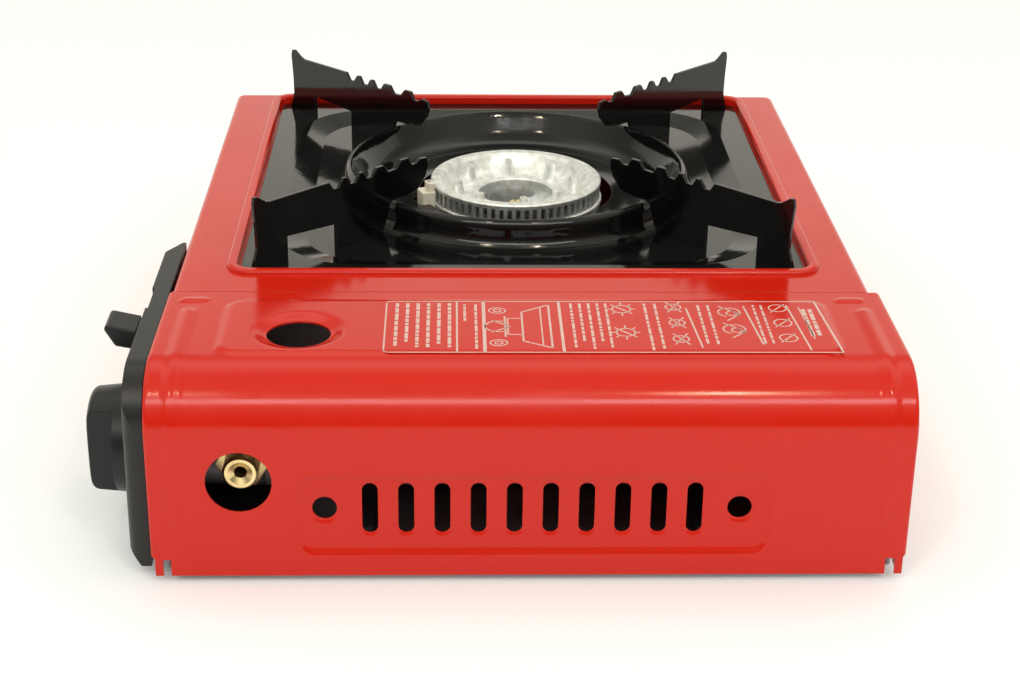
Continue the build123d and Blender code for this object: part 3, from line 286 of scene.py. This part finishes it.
def plastic(name, color, rough, grain_mm, depth, edge_highlight_gain=2.2):
    """Injection-moulded plastic: spark-eroded grain, shinier rubbed edges that are also tinted
    lighter as a painted highlight.
    """
    s = Surface(name, color, rough)
    s.soften(0.4)
    highlight_and_rub_edges = s.edges(0.5 * MM)
    # Edges are tinted lighter as a painted highlight; the same mask also lowers the roughness where
    # edges are rubbed.
    s.tint(s.times(highlight_and_rub_edges, 0.5), tuple(c * edge_highlight_gain for c in color))
    s.tint(s.spread(s.noise(30, 4), 0.50, 0.75, 0.0, 0.5), tuple(c * 1.35 for c in color))
    s.shift_rough(s.times(highlight_and_rub_edges, 0.6), rough * 0.6)
    s.bump(s.cells(1 / (grain_mm * MM)), depth, 0.55)
    return s.done(IOR=1.40)


def ceramic():
    """Glazed cream ceramic with faint iron specks."""
    s = Surface("ceramic", (0.78, 0.73, 0.62), 0.28)
    s.soften(0.3)
    s.tint(s.spread(s.noise(700, 2), 0.66, 0.74, 0.0, 0.6), (0.42, 0.33, 0.22))
    s.tint(s.spread(s.noise(60, 3), 0.45, 0.70, 0.0, 0.35), (0.70, 0.62, 0.48))
    s.shift_rough(s.spread(s.noise(90, 3), 0.4, 0.6), 0.42)
    s.bump(s.noise(500, 2), 0.04, 0.4)
    return s.done()


def rubber():
    """Matt black rubber, lightly dusty."""
    s = Surface("rubber", (0.016, 0.016, 0.017), 0.72)
    s.soften(0.4)
    s.tint(s.spread(s.noise(80, 5), 0.48, 0.74, 0.0, 0.55), (0.07, 0.068, 0.062))
    s.shift_rough(s.spread(s.noise(300, 2), 0.4, 0.6), 0.85)
    s.bump(s.noise(900, 3), 0.10, 0.6)
    return s.done()


def sleeve():
    """Silicone sleeve of the spark lead."""
    s = Surface("spark_sleeve", (0.62, 0.53, 0.40), 0.45)
    s.tint(s.spread(s.noise(120, 3), 0.45, 0.70, 0.0, 0.5), (0.50, 0.41, 0.29))
    s.shift_rough(s.spread(s.noise(200, 2), 0.4, 0.6), 0.58)
    s.bump(s.noise(800, 2), 0.05, 0.5)
    return s.done()


def print_ink():
    """White screen-printed ink, thin enough to let a little red through."""
    s = Surface("print_ink", (0.72, 0.55, 0.51), 0.34)
    s.tint(s.spread(s.noise(1500, 3), 0.42, 0.66), (0.62, 0.36, 0.31))
    s.shift_rough(s.spread(s.noise(400, 2), 0.4, 0.6), 0.5)
    s.bump(s.noise(1800, 2), 0.02, 0.4)
    return s.done()


FINISHES = {
    "red_enamel": red_enamel(),
    "black_enamel": black_enamel(),
    "cast_burner": cast_burner(),
    "brass": brass(),
    # The tray, inner and aluminium sheet colours are set darker than plain metal: painted shade for
    # the shadowed inside of the body.
    "tray_steel": steel("tray_steel", (0.30, 0.30, 0.31), 0.42),
    "inner_steel": steel("inner_steel", (0.26, 0.26, 0.27), 0.42, (1.0, 1.0, 40.0)),
    "aluminium_sheet": steel("aluminium_sheet", (0.45, 0.45, 0.47), 0.36, (40.0, 1.0, 1.0)),
    "screw_steel": steel("screw_steel", (0.58, 0.57, 0.55), 0.26, (8.0, 8.0, 8.0)),
    "zinc_cast": steel("zinc_cast", (0.44, 0.45, 0.46), 0.46, (3.0, 3.0, 3.0)),
    "panel_plastic": plastic("panel_plastic", (0.014, 0.0135, 0.0135), 0.34, 0.35, 0.03),
    "knob_plastic": plastic("knob_plastic", (0.0085, 0.0085, 0.010), 0.36, 0.30, 0.02),
    "piezo_plastic": plastic("piezo_plastic", (0.020, 0.020, 0.023), 0.40, 0.35, 0.02),
    "ceramic": ceramic(),
    "rubber": rubber(),
    "lead_red": sleeve(),
}

for node in frame["nodes"].values():
    for index, old in enumerate(node.data.materials):
        node.data.materials[index] = FINISHES[old.name.split(".")[0]]


# ---------------------------------------------------------------- mesh helpers
def add_piece(name, mesh_build, material, body):
    """A new mesh object that rides on a CAD body."""
    mesh = bpy.data.meshes.new(name)
    work = bmesh.new()
    mesh_build(work)
    bmesh.ops.recalc_face_normals(work, faces=work.faces)
    work.to_mesh(mesh)
    work.free()
    mesh.materials.append(material)
    piece = bpy.data.objects.new(name, mesh)
    bpy.context.scene.collection.objects.link(piece)
    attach(piece, body)
    return piece


# ---------------------------------------------------------------- lid
SHEET = 0.8
LID_CORNER = 1.6
LID_FLANGE = 7.0
LID_BEND = 23.5
BEAD_RISE = 0.7
FIELD_RISE = 0.9
RECESS_DROP = 1.4
DISH_DROP = 1.9
HINGE_EAR = 4.8
HINGE_BORE = 2.05
EAR_Y = (-124.4, 149.2)
VENT_MID_Y = 13.1
VENT_PITCH = 13.2
VENT_Z = 30.2
LONG_BEADS_Y = (-116.95, 142.35)
SHORT_BEADS_Y = (-115.85, 138.5)
LONG_BEAD_TOP_X = 106
LONG_BEAD_END_Z = 24
GRID_MM = 1.3
FINE_GRID_MM = 0.5
HOLE_MARGIN = 2.0
LID_LOW, LID_HIGH = (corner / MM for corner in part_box("lid_shell"))
SPLIT_X = LID_LOW.x
LID_X = LID_HIGH.x - BEAD_RISE
LID_TOP = LID_HIGH.z - FIELD_RISE
LID_BOTTOM = LID_LOW.z
LID_FRONT, LID_BACK = LID_LOW.y, LID_HIGH.y
BEND_LENGTH = LID_BEND * math.pi / 2
TOP_RUN = LID_X - LID_BEND - SPLIT_X
LID_RUN = TOP_RUN + BEND_LENGTH + LID_TOP - LID_BEND - LID_BOTTOM
SIDE_RUN = LID_FLANGE - LID_CORNER
CORNER_RUN = LID_CORNER * math.pi / 2
EDGE_RUN = SIDE_RUN + CORNER_RUN
FLAT_RUN = LID_BACK - LID_FRONT - 2 * LID_CORNER
CROSS_RUN = FLAT_RUN + 2 * EDGE_RUN


def smooth(value):
    """Smooth step from none at 0 to one at 1."""
    value = min(1.0, max(0.0, value))
    return value * value * (3 - 2 * value)


def slot_gap(x, y, slot):
    """Distance outside a slot or circle: (centre x, centre y, half straight in x, in y, radius)."""
    cx, cy, half_x, half_y, radius = slot
    dx = max(abs(x - cx) - half_x, 0.0)
    dy = max(abs(y - cy) - half_y, 0.0)
    return math.hypot(dx, dy) - radius


def box_gap(x, y, cx, cy, half_x, half_y, radius):
    """Distance outside a rounded rectangle, negative inside."""
    dx = abs(x - cx) - half_x + radius
    dy = abs(y - cy) - half_y + radius
    return math.hypot(max(dx, 0.0), max(dy, 0.0)) + min(max(dx, dy), 0.0) - radius


def slot_loop(slot, grow=0.0, steps=28):
    """Points around a slot or circle, grown outwards."""
    cx, cy, half_x, half_y, radius = slot
    points = []
    for i in range(steps):
        angle = 2 * math.pi * (i + 0.5) / steps
        c, s = math.cos(angle), math.sin(angle)
        points.append((cx + math.copysign(half_x, c) + (radius + grow) * c,
                       cy + math.copysign(half_y, s) + (radius + grow) * s))
    return points


# A lid point is given as (run, cross): run goes down the profile from the free edge on the
# top to the bottom of the end face, and cross goes from the front flange to the back flange.
def run_of_x(x):
    return x - SPLIT_X


def run_of_z(z):
    return TOP_RUN + BEND_LENGTH + LID_TOP - LID_BEND - z


def cross_of_y(y):
    return EDGE_RUN + y - LID_FRONT - LID_CORNER


DISH = (run_of_x(128.55), cross_of_y(-73.65), 0.0, 0.0, 12.04)
PORT = (run_of_z(41.5), cross_of_y(-93.6), 0.0, 0.0, 12.05)
END_HOLES = [(run_of_z(VENT_Z), cross_of_y(y), 0.0, 0.0, 4.5) for y in (-62.85, 89.05)]
VENTS = [(run_of_z(VENT_Z), cross_of_y(VENT_MID_Y + VENT_PITCH * (i - 4.5)), 7.3, 0.0, 2.9)
         for i in range(10)]
HOLES = [DISH, PORT, *END_HOLES, *VENTS]
# Notches in the lower edge: (low cross, high cross, top z). The first two clear the tray's
# hinge lugs and the last two are the cut-away ends.
NOTCHES = [(cross_of_y(-122.45), cross_of_y(-119.55), 9.5),
           (cross_of_y(144.5), cross_of_y(148.1), 9.5),
           (-1.0, cross_of_y(-125.4), 10.0),
           (cross_of_y(151.0), CROSS_RUN + 1, 10.0)]


def lid_relief(run, cross):
    """Height of the pressed shapes above the plain lid, in mm."""
    y = cross - EDGE_RUN + LID_FRONT + LID_CORNER
    height = FIELD_RISE * smooth(
        -box_gap(run, y, run_of_x(124.4), 12.45, 25.75, 115.7, 8.0) / 2.0)
    height -= DISH_DROP * smooth(1 - slot_gap(run, cross, DISH) / 5.6)
    height -= RECESS_DROP * smooth(-box_gap(run, y, run_of_z(28), 13.6, 16.5, 87.25, 7.0) / 2.2)
    height -= 0.35 * smooth(1 - slot_gap(run, cross, PORT) / 1.6)
    for hole in END_HOLES:
        height -= 0.7 * smooth(1 - slot_gap(run, cross, hole) / 2.6)
    for vent in VENTS:
        height -= 0.6 * smooth(1 - slot_gap(run, cross, vent) / 1.7)
    for bead_y in SHORT_BEADS_Y:
        bead = (run_of_x(98.2), cross_of_y(bead_y), 0.0, 3.4, 0.4)
        height += BEAD_RISE * smooth(1 - slot_gap(run, cross, bead) / 1.8)
    bead_start, bead_end = run_of_x(LONG_BEAD_TOP_X), run_of_z(LONG_BEAD_END_Z)
    for bead_y in LONG_BEADS_Y:
        bead = ((bead_start + bead_end) / 2, cross_of_y(bead_y),
                (bead_end - bead_start) / 2 - 3.4, 0.0, 1.0)
        height += BEAD_RISE * smooth(1 - slot_gap(run, cross, bead) / 2.4)
    return height


def lid_place(run, cross, height):
    """The point of the lid at a distance along its profile and across its width, in metres."""
    if cross < EDGE_RUN:
        reach, y, turn = EDGE_RUN - cross, LID_FRONT + LID_CORNER, -1
    elif cross > EDGE_RUN + FLAT_RUN:
        reach, y, turn = cross - EDGE_RUN - FLAT_RUN, LID_BACK - LID_CORNER, 1
    else:
        reach, y, turn = 0.0, LID_FRONT + LID_CORNER + cross - EDGE_RUN, 0
    corner = min(reach / LID_CORNER, math.pi / 2)
    y += turn * LID_CORNER * math.sin(corner)
    depth = LID_CORNER * (1 - math.cos(corner)) + max(reach - CORNER_RUN, 0.0) - height
    bend = min(max((run - TOP_RUN) / LID_BEND, 0.0), math.pi / 2)
    x = SPLIT_X + min(run, TOP_RUN) + (LID_BEND - depth) * math.sin(bend)
    z = LID_TOP - LID_BEND - max(run - TOP_RUN - BEND_LENGTH, 0.0)
    z += (LID_BEND - depth) * math.cos(bend)
    return x * MM, y * MM, z * MM


def in_notch(run, cross, grow=0.0):
    """True inside a notch, grown by a margin."""
    z = run_of_z(0) - run
    return any(low - grow < cross < high + grow and z < top + grow for low, high, top in NOTCHES)


def flat_sheet(loops, inner_points, keep):
    """Triangles over a flat outline with holes: (points, faces)."""
    points, edges = [], []
    for loop in loops:
        first = len(points)
        points += loop
        edges += [(first + i, first + (i + 1) % len(loop)) for i in range(len(loop))]
    points += inner_points
    made = delaunay_2d_cdt([Vector(p) for p in points], edges, [], 0, 1e-5)
    faces = []
    for face in made[2]:
        cx = sum(made[0][i].x for i in face) / 3
        cy = sum(made[0][i].y for i in face) / 3
        if keep(cx, cy):
            faces.append(face)
    return [(p.x, p.y) for p in made[0]], faces


def steps_between(low, high, pitch):
    """Even steps from low to high, both included."""
    count = max(1, round((high - low) / pitch))
    return [low + (high - low) * i / count for i in range(count + 1)]


def lid_outline():
    """The lid's blank, with its notches in the lower edge."""
    far = [(0.0, c) for c in steps_between(0, CROSS_RUN, GRID_MM)]
    z_cut = [run_of_z(top) for _, _, top in NOTCHES]
    lower = [(z_cut[3], CROSS_RUN), (z_cut[3], NOTCHES[3][0]), (LID_RUN, NOTCHES[3][0])]
    lower += [(LID_RUN, NOTCHES[1][1]), (z_cut[1], NOTCHES[1][1]), (z_cut[1], NOTCHES[1][0]),
              (LID_RUN, NOTCHES[1][0])]
    between = steps_between(NOTCHES[0][1], NOTCHES[1][0], GRID_MM)[1:-1]
    lower += [(LID_RUN, c) for c in reversed(between)]
    lower += [(LID_RUN, NOTCHES[0][1]), (z_cut[0], NOTCHES[0][1]), (z_cut[0], NOTCHES[0][0]),
              (LID_RUN, NOTCHES[0][0])]
    lower += [(LID_RUN, NOTCHES[2][1]), (z_cut[2], NOTCHES[2][1]), (z_cut[2], 0.0)]
    back_side = [(r, CROSS_RUN) for r in steps_between(0, z_cut[3], GRID_MM)[1:-1]]
    front_side = [(r, 0.0) for r in reversed(steps_between(0, z_cut[2], GRID_MM)[1:-1])]
    return far + back_side + lower + front_side


def build_lid(work):
    """The lid's outer skin, with every pressed shape and hole."""
    loops = [lid_outline()] + [slot_loop(hole) for hole in HOLES]
    inner = []
    for hole in HOLES:
        for grow in (0.45, 0.95, 1.5):
            inner += slot_loop(hole, grow)
    runs = (steps_between(0, TOP_RUN, GRID_MM)
            + steps_between(TOP_RUN, TOP_RUN + BEND_LENGTH, 1.0)[1:]
            + steps_between(TOP_RUN + BEND_LENGTH, LID_RUN, GRID_MM)[1:])[1:-1]
    crosses = (steps_between(0, SIDE_RUN, 2.0)
               + steps_between(SIDE_RUN, EDGE_RUN, FINE_GRID_MM)[1:]
               + steps_between(EDGE_RUN, EDGE_RUN + FLAT_RUN, GRID_MM)[1:]
               + steps_between(EDGE_RUN + FLAT_RUN, CROSS_RUN - SIDE_RUN, FINE_GRID_MM)[1:]
               + steps_between(CROSS_RUN - SIDE_RUN, CROSS_RUN, 2.0)[1:])[1:-1]
    for run in runs:
        for cross in crosses:
            if in_notch(run, cross, 0.4):
                continue
            if min(slot_gap(run, cross, hole) for hole in HOLES) < HOLE_MARGIN:
                continue
            inner.append((run, cross))

    def keep(run, cross):
        return not in_notch(run, cross) and all(slot_gap(run, cross, h) > 0 for h in HOLES)

    points, faces = flat_sheet(loops, inner, keep)
    verts = [work.verts.new(lid_place(r, c, lid_relief(r, c))) for r, c in points]
    for face in faces:
        work.faces.new([verts[i] for i in face])
    loose = [v for v in work.verts if not v.link_faces]
    bmesh.ops.delete(work, geom=loose, context="VERTS")


def build_ears(work):
    """Hinge ears bent in from the lid's end face."""
    hinge = frame["joints"][0]["pos_m"]
    hinge_x, hinge_z = hinge[0] / MM, hinge[2] / MM
    root_x = LID_X - 0.9
    outline = [(root_x, hinge_z - HINGE_EAR), (root_x, hinge_z + HINGE_EAR)]
    for degrees in range(90, 271, 10):
        angle = math.radians(degrees)
        outline.append((hinge_x + HINGE_EAR * math.cos(angle),
                        hinge_z + HINGE_EAR * math.sin(angle)))
    pin = (hinge_x, hinge_z, 0.0, 0.0, HINGE_BORE)
    points, faces = flat_sheet([outline, slot_loop(pin)], [],
                               lambda x, z: slot_gap(x, z, pin) > 0)
    for ear_y in EAR_Y:
        verts = [work.verts.new((x * MM, ear_y * MM, z * MM)) for x, z in points]
        made = [work.faces.new([verts[i] for i in face]) for face in faces]
        grown = bmesh.ops.extrude_face_region(work, geom=made)
        moved = [g for g in grown["geom"] if isinstance(g, bmesh.types.BMVert)]
        bmesh.ops.translate(work, vec=(0, SHEET * MM, 0), verts=moved)


def thicken(piece, thickness_mm, sharp=40):
    """Turns a one-sided skin into a closed sheet that grows inwards."""
    grow = piece.modifiers.new("sheet", "SOLIDIFY")
    grow.thickness = thickness_mm * MM
    grow.offset = -1
    bake_modifiers(piece, sharp)


def bake_modifiers(piece, sharp=40):
    """Applies a piece's modifiers to its mesh."""
    graph = bpy.context.evaluated_depsgraph_get()
    old = piece.data
    piece.data = bpy.data.meshes.new_from_object(piece.evaluated_get(graph))
    piece.modifiers.clear()
    bpy.data.meshes.remove(old)
    smooth_faces(piece, sharp)


def smooth_faces(piece, sharp=40):
    """Smooth shading that stays sharp at edges over an angle in degrees."""
    piece.data.polygons.foreach_set("use_smooth", [True] * len(piece.data.polygons))
    piece.data.set_sharp_from_angle(angle=math.radians(sharp))


lid_cover = add_piece("lid_cover", build_lid, FINISHES["red_enamel"], "lid")
if sum(p.normal.z for p in lid_cover.data.polygons) < 0:
    lid_cover.data.flip_normals()
thicken(lid_cover, SHEET)
add_piece("lid_ears", build_ears, FINISHES["red_enamel"], "lid")
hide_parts("lid_shell")


# ---------------------------------------------------------------- print on the lid
INK_MM = 0.03
LINE_MM = 0.62
PRINT_Z = LID_TOP + FIELD_RISE
PRINT_LEFT = -41.5            # the panel's sides, in mm along Y and X
PRINT_RIGHT = 124.0
PRINT_FAR = 101.5
PRINT_NEAR = 149.0


class Ink:
    """Collects thin closed strips of ink on the lid's raised field, in mm."""

    def __init__(self, work, z):
        self.work = work
        self.low = z * MM
        self.high = (z + INK_MM) * MM

    def slab(self, corners):
        """A closed slab over a convex outline of (x, y) corners."""
        under = [self.work.verts.new((x * MM, y * MM, self.low)) for x, y in corners]
        over = [self.work.verts.new((x * MM, y * MM, self.high)) for x, y in corners]
        self.work.faces.new(over)
        self.work.faces.new(under[::-1])
        count = len(corners)
        for i in range(count):
            j = (i + 1) % count
            self.work.faces.new((under[i], under[j], over[j], over[i]))

    def line(self, start, end, width=LINE_MM):
        ax, ay = start
        bx, by = end
        length = math.hypot(bx - ax, by - ay)
        if length < 1e-6:
            return
        nx, ny = -(by - ay) / length * width / 2, (bx - ax) / length * width / 2
        self.slab(((ax + nx, ay + ny), (bx + nx, by + ny),
                   (bx - nx, by - ny), (ax - nx, ay - ny)))

    def path(self, points, width=LINE_MM):
        for start, end in zip(points, points[1:]):
            self.line(start, end, width)

    def arc(self, centre, radius, start, stop, steps=14, squeeze=1.0, width=LINE_MM):
        points = []
        for i in range(steps + 1):
            angle = math.radians(start + (stop - start) * i / steps)
            points.append((centre[0] + radius * squeeze * math.cos(angle),
                           centre[1] + radius * math.sin(angle)))
        self.path(points, width)

    def bars(self, y, x0, x1, rng, width=1.3):
        """A row of short dashes along X that stands for a line of print."""
        x = x0
        while x < x1 - 1.2:
            reach = min(rng.uniform(1.6, 6.5), x1 - x)
            self.line((x, y), (x + reach, y), width)
            x += reach + 0.9


def draw_print(work):
    """Frame, dividers, dashes and pictograms of a generic instruction panel."""
    rng = random.Random(11)
    ink = Ink(work, PRINT_Z)
    left, right, far, near = PRINT_LEFT, PRINT_RIGHT, PRINT_FAR, PRINT_NEAR
    ink.path(((far, left + 2), (far, right)), 0.6)
    ink.path(((near, left + 2), (near, right + 3)), 0.7)
    ink.path(((far + 1.5, left), (near - 1.5, left)), 0.6)
    ink.arc((far + 2, left + 2), 2, 180, 270, 5, width=0.6)
    ink.arc((near - 2, left + 2), 2, 270, 360, 5, width=0.6)
    ink.path(((far, right), (near, right + 3)), 0.8)
    # Six long rows of dashes, a divider, two shorter rows and a heavy divider.
    for row in range(6):
        ink.bars(-37.4 + 4.0 * row, 103.5, 144.5 - 3 * (row % 3 == 1), rng)
    ink.line((far, -14.6), (near, -14.6), 0.7)
    ink.bars(-11.6, 104.5, 120.5, rng, 1.0)
    ink.bars(-7.4, 104.5, 146, rng, 1.0)
    ink.line((far, -4.4), (near, -4.4), 1.3)
    # A burner with flames under a pot.
    ink.path(((105, 20.5), (145, 20.5)), 0.8)
    ink.path(((105, 20.5), (112, 10), (139, 10), (145, 20.5)), 0.7)
    ink.path(((107.5, 17.2), (142.5, 17.2)), 0.5)
    ink.path(((118, 10), (118, 4.5), (133, 4.5), (133, 10)), 0.6)
    ink.path(((116, 3.5), (135, 3.5)), 0.7)
    for flame_x in (110.5, 140.5):
        ink.arc((flame_x, 0.8), 3.2, 0, 360, 16, 0.85)
        ink.arc((flame_x, 0.8), 1.5, 0, 360, 10, 0.85)
    ink.arc((125.5, 1.0), 5.0, 150, 390, 16)
    ink.path(((120, -1.5), (125.5, 5.5), (131, -1.5)), 0.6)
    ink.line((far, 24.6), (near, 24.6), 1.1)
    # Four blocks of dashes, each beside a pair of small pictograms.
    for row, y in enumerate((29.2, 32.6, 36.0, 39.4, 42.6)):
        ink.bars(y, 103.5, 146 - 7 * (row % 2), rng, 1.0)
    for x, y in ((109, 48.5), (131, 48.5)):
        ink.arc((x, y), 3.6, 0, 360, 14)
        for step in range(8):
            angle = math.radians(45 * step)
            ink.line((x + 3.6 * math.cos(angle), y + 3.6 * math.sin(angle)),
                     (x + 6.4 * math.cos(angle), y + 5.4 * math.sin(angle)), 0.6)
        ink.line((x - 2.2, y - 2.0), (x + 2.2, y + 2.0), 0.7)
    for y in (57.6, 61.6):
        ink.bars(y, 103.5, 147, rng, 1.0)
    for x in (107, 122, 137):
        ink.arc((x, 68.6), 3.0, 0, 360, 12)
        ink.path(((x - 5, 66), (x + 5, 71.5)), 0.6)
        ink.path(((x + 5, 66), (x - 5, 71.5)), 0.6)
    ink.path(((108, 73.4), (145, 75.8)), 0.7)
    for y in (78.2, 82.0):
        ink.bars(y, 105, 142, rng, 1.0)
    for x in (112, 128):
        ink.arc((x, 89.6), 4.2, 20, 340, 14)
        ink.arc((x + 1, 90.4), 2.0, 0, 360, 10)
        ink.path(((x - 6, 86), (x + 2, 93.6), (x + 8, 88)), 0.6)
    ink.path(((106, 95.8), (142, 98.6)), 0.7)
    for y in (99.6, 102.6):
        ink.bars(y, 105, 141, rng, 0.9)
    for x in (108, 122, 136):
        ink.arc((x, 108.8), 3.4, 0, 360, 12)
        ink.path(((x - 4, 112), (x + 4, 105.6)), 0.6)
    ink.path(((105, 112.6), (147, 115.6)), 0.7)
    for row in range(2):
        ink.bars(118.4 + 2.6 * row, 109, 135, rng, 1.6)
    ink.path(((107, 117.0), (137, 118.6)), 0.5)


add_piece("lid_print", draw_print, print_ink(), "lid")


# ---------------------------------------------------------------- floor and light
FLOOR_HALF = 6.0
FLOOR_GLOW = 0.12
WARMTH = 0.84                 # the sky's blue against its red
SKY_PEAK = 2.0                # sky levels are stored below one and multiplied by this
# Sky levels from the horizon (0) to overhead (1): behind the stove, and behind the camera.
BACKDROP_STOPS = ((0.0, 1.05), (0.375, 1.05), (0.44, 0.50), (0.58, 0.42), (0.70, 0.70),
                  (0.80, 1.45), (0.90, 1.70), (0.965, 1.10), (1.0, 0.66))
ROOM_STOPS = ((0.0, 0.10), (0.22, 0.20), (0.40, 0.42), (0.56, 0.90), (0.80, 1.0), (0.88, 0.68),
              (1.0, 0.66))


def make_floor():
    """A pale light table with a soft sheen."""
    mesh = bpy.data.meshes.new("floor")
    half = FLOOR_HALF
    mesh.from_pydata([(-half, -half, 0), (half, -half, 0), (half, half, 0), (-half, half, 0)],
                     [], [(0, 1, 2, 3)])
    s = Surface("floor", (0.90, 0.93, 0.97), 0.45)
    s.tint(s.spread(s.noise(3, 2), 0.4, 0.6, 0.0, 0.5), (0.89, 0.92, 0.96))
    mesh.materials.append(s.done(Emission_Color=(1, 1, 1, 1), Emission_Strength=FLOOR_GLOW,
                                 Specular_IOR_Level=0.25))
    floor = bpy.data.objects.new("floor", mesh)
    bpy.context.scene.collection.objects.link(floor)


def make_sky():
    """A pale studio: a white backdrop behind the stove, softer overhead, dim behind the camera."""
    world = bpy.data.worlds.new("studio")
    world.use_nodes = True
    tree = world.node_tree
    back = tree.nodes["Background"]
    direction = tree.nodes.new("ShaderNodeTexCoord")
    split = tree.nodes.new("ShaderNodeSeparateXYZ")
    tree.links.new(direction.outputs["Generated"], split.inputs["Vector"])
    levels = []
    for stops in (BACKDROP_STOPS, ROOM_STOPS):
        ramp = tree.nodes.new("ShaderNodeValToRGB")
        tree.links.new(split.outputs["Z"], ramp.inputs["Fac"])
        while len(ramp.color_ramp.elements) < len(stops):
            ramp.color_ramp.elements.new(0.5)
        for element, (place, level) in zip(ramp.color_ramp.elements, stops):
            element.position = place
            level /= SKY_PEAK
            element.color = (level, level * 0.97, level * WARMTH, 1)
        levels.append(ramp.outputs["Color"])
    side = tree.nodes.new("ShaderNodeMapRange")
    side.inputs["From Min"].default_value = -0.25
    side.inputs["From Max"].default_value = 0.45
    tree.links.new(split.outputs["X"], side.inputs["Value"])
    mix = tree.nodes.new("ShaderNodeMix")
    mix.data_type = "RGBA"
    tree.links.new(side.outputs["Result"], mix.inputs["Factor"])
    tree.links.new(levels[0], mix.inputs[6])
    tree.links.new(levels[1], mix.inputs[7])
    tree.links.new(mix.outputs[2], back.inputs["Color"])
    back.inputs["Strength"].default_value = SKY_PEAK
    bpy.context.scene.world = world


def add_light(name, at, size, power, color=(1, 1, 1), target=(0, 0, 0.05), gloss=True):
    """A rectangular soft light that faces the target."""
    data = bpy.data.lights.new(name, "AREA")
    data.shape = "RECTANGLE"
    data.size, data.size_y = size
    data.energy = power
    data.color = color
    light = bpy.data.objects.new(name, data)
    light.location = at
    light.rotation_mode = "QUATERNION"
    light.rotation_quaternion = (Vector(target) - Vector(at)).to_track_quat("-Z", "Y")
    light.visible_camera = False
    light.visible_glossy = gloss
    bpy.context.scene.collection.objects.link(light)


make_floor()
make_sky()
add_light("key_strip", (1.75, 0.0, 1.65), (3.0, 0.30), 17.0)
add_light("fill_front", (2.2, 0.0, 1.0), (1.6, 1.6), 2.0, gloss=False)
add_light("spot_warm_a", (0.95, -0.42, 1.35), (0.07, 0.07), 1.6, (1.0, 0.85, 0.6))
add_light("spot_warm_b", (0.95, 0.30, 1.40), (0.07, 0.07), 1.6, (1.0, 0.85, 0.6))

view = bpy.context.scene.view_settings
view.view_transform = "Standard"
view.look = "None"


# ---------------------------------------------------------------- final update
bpy.context.view_layer.update()
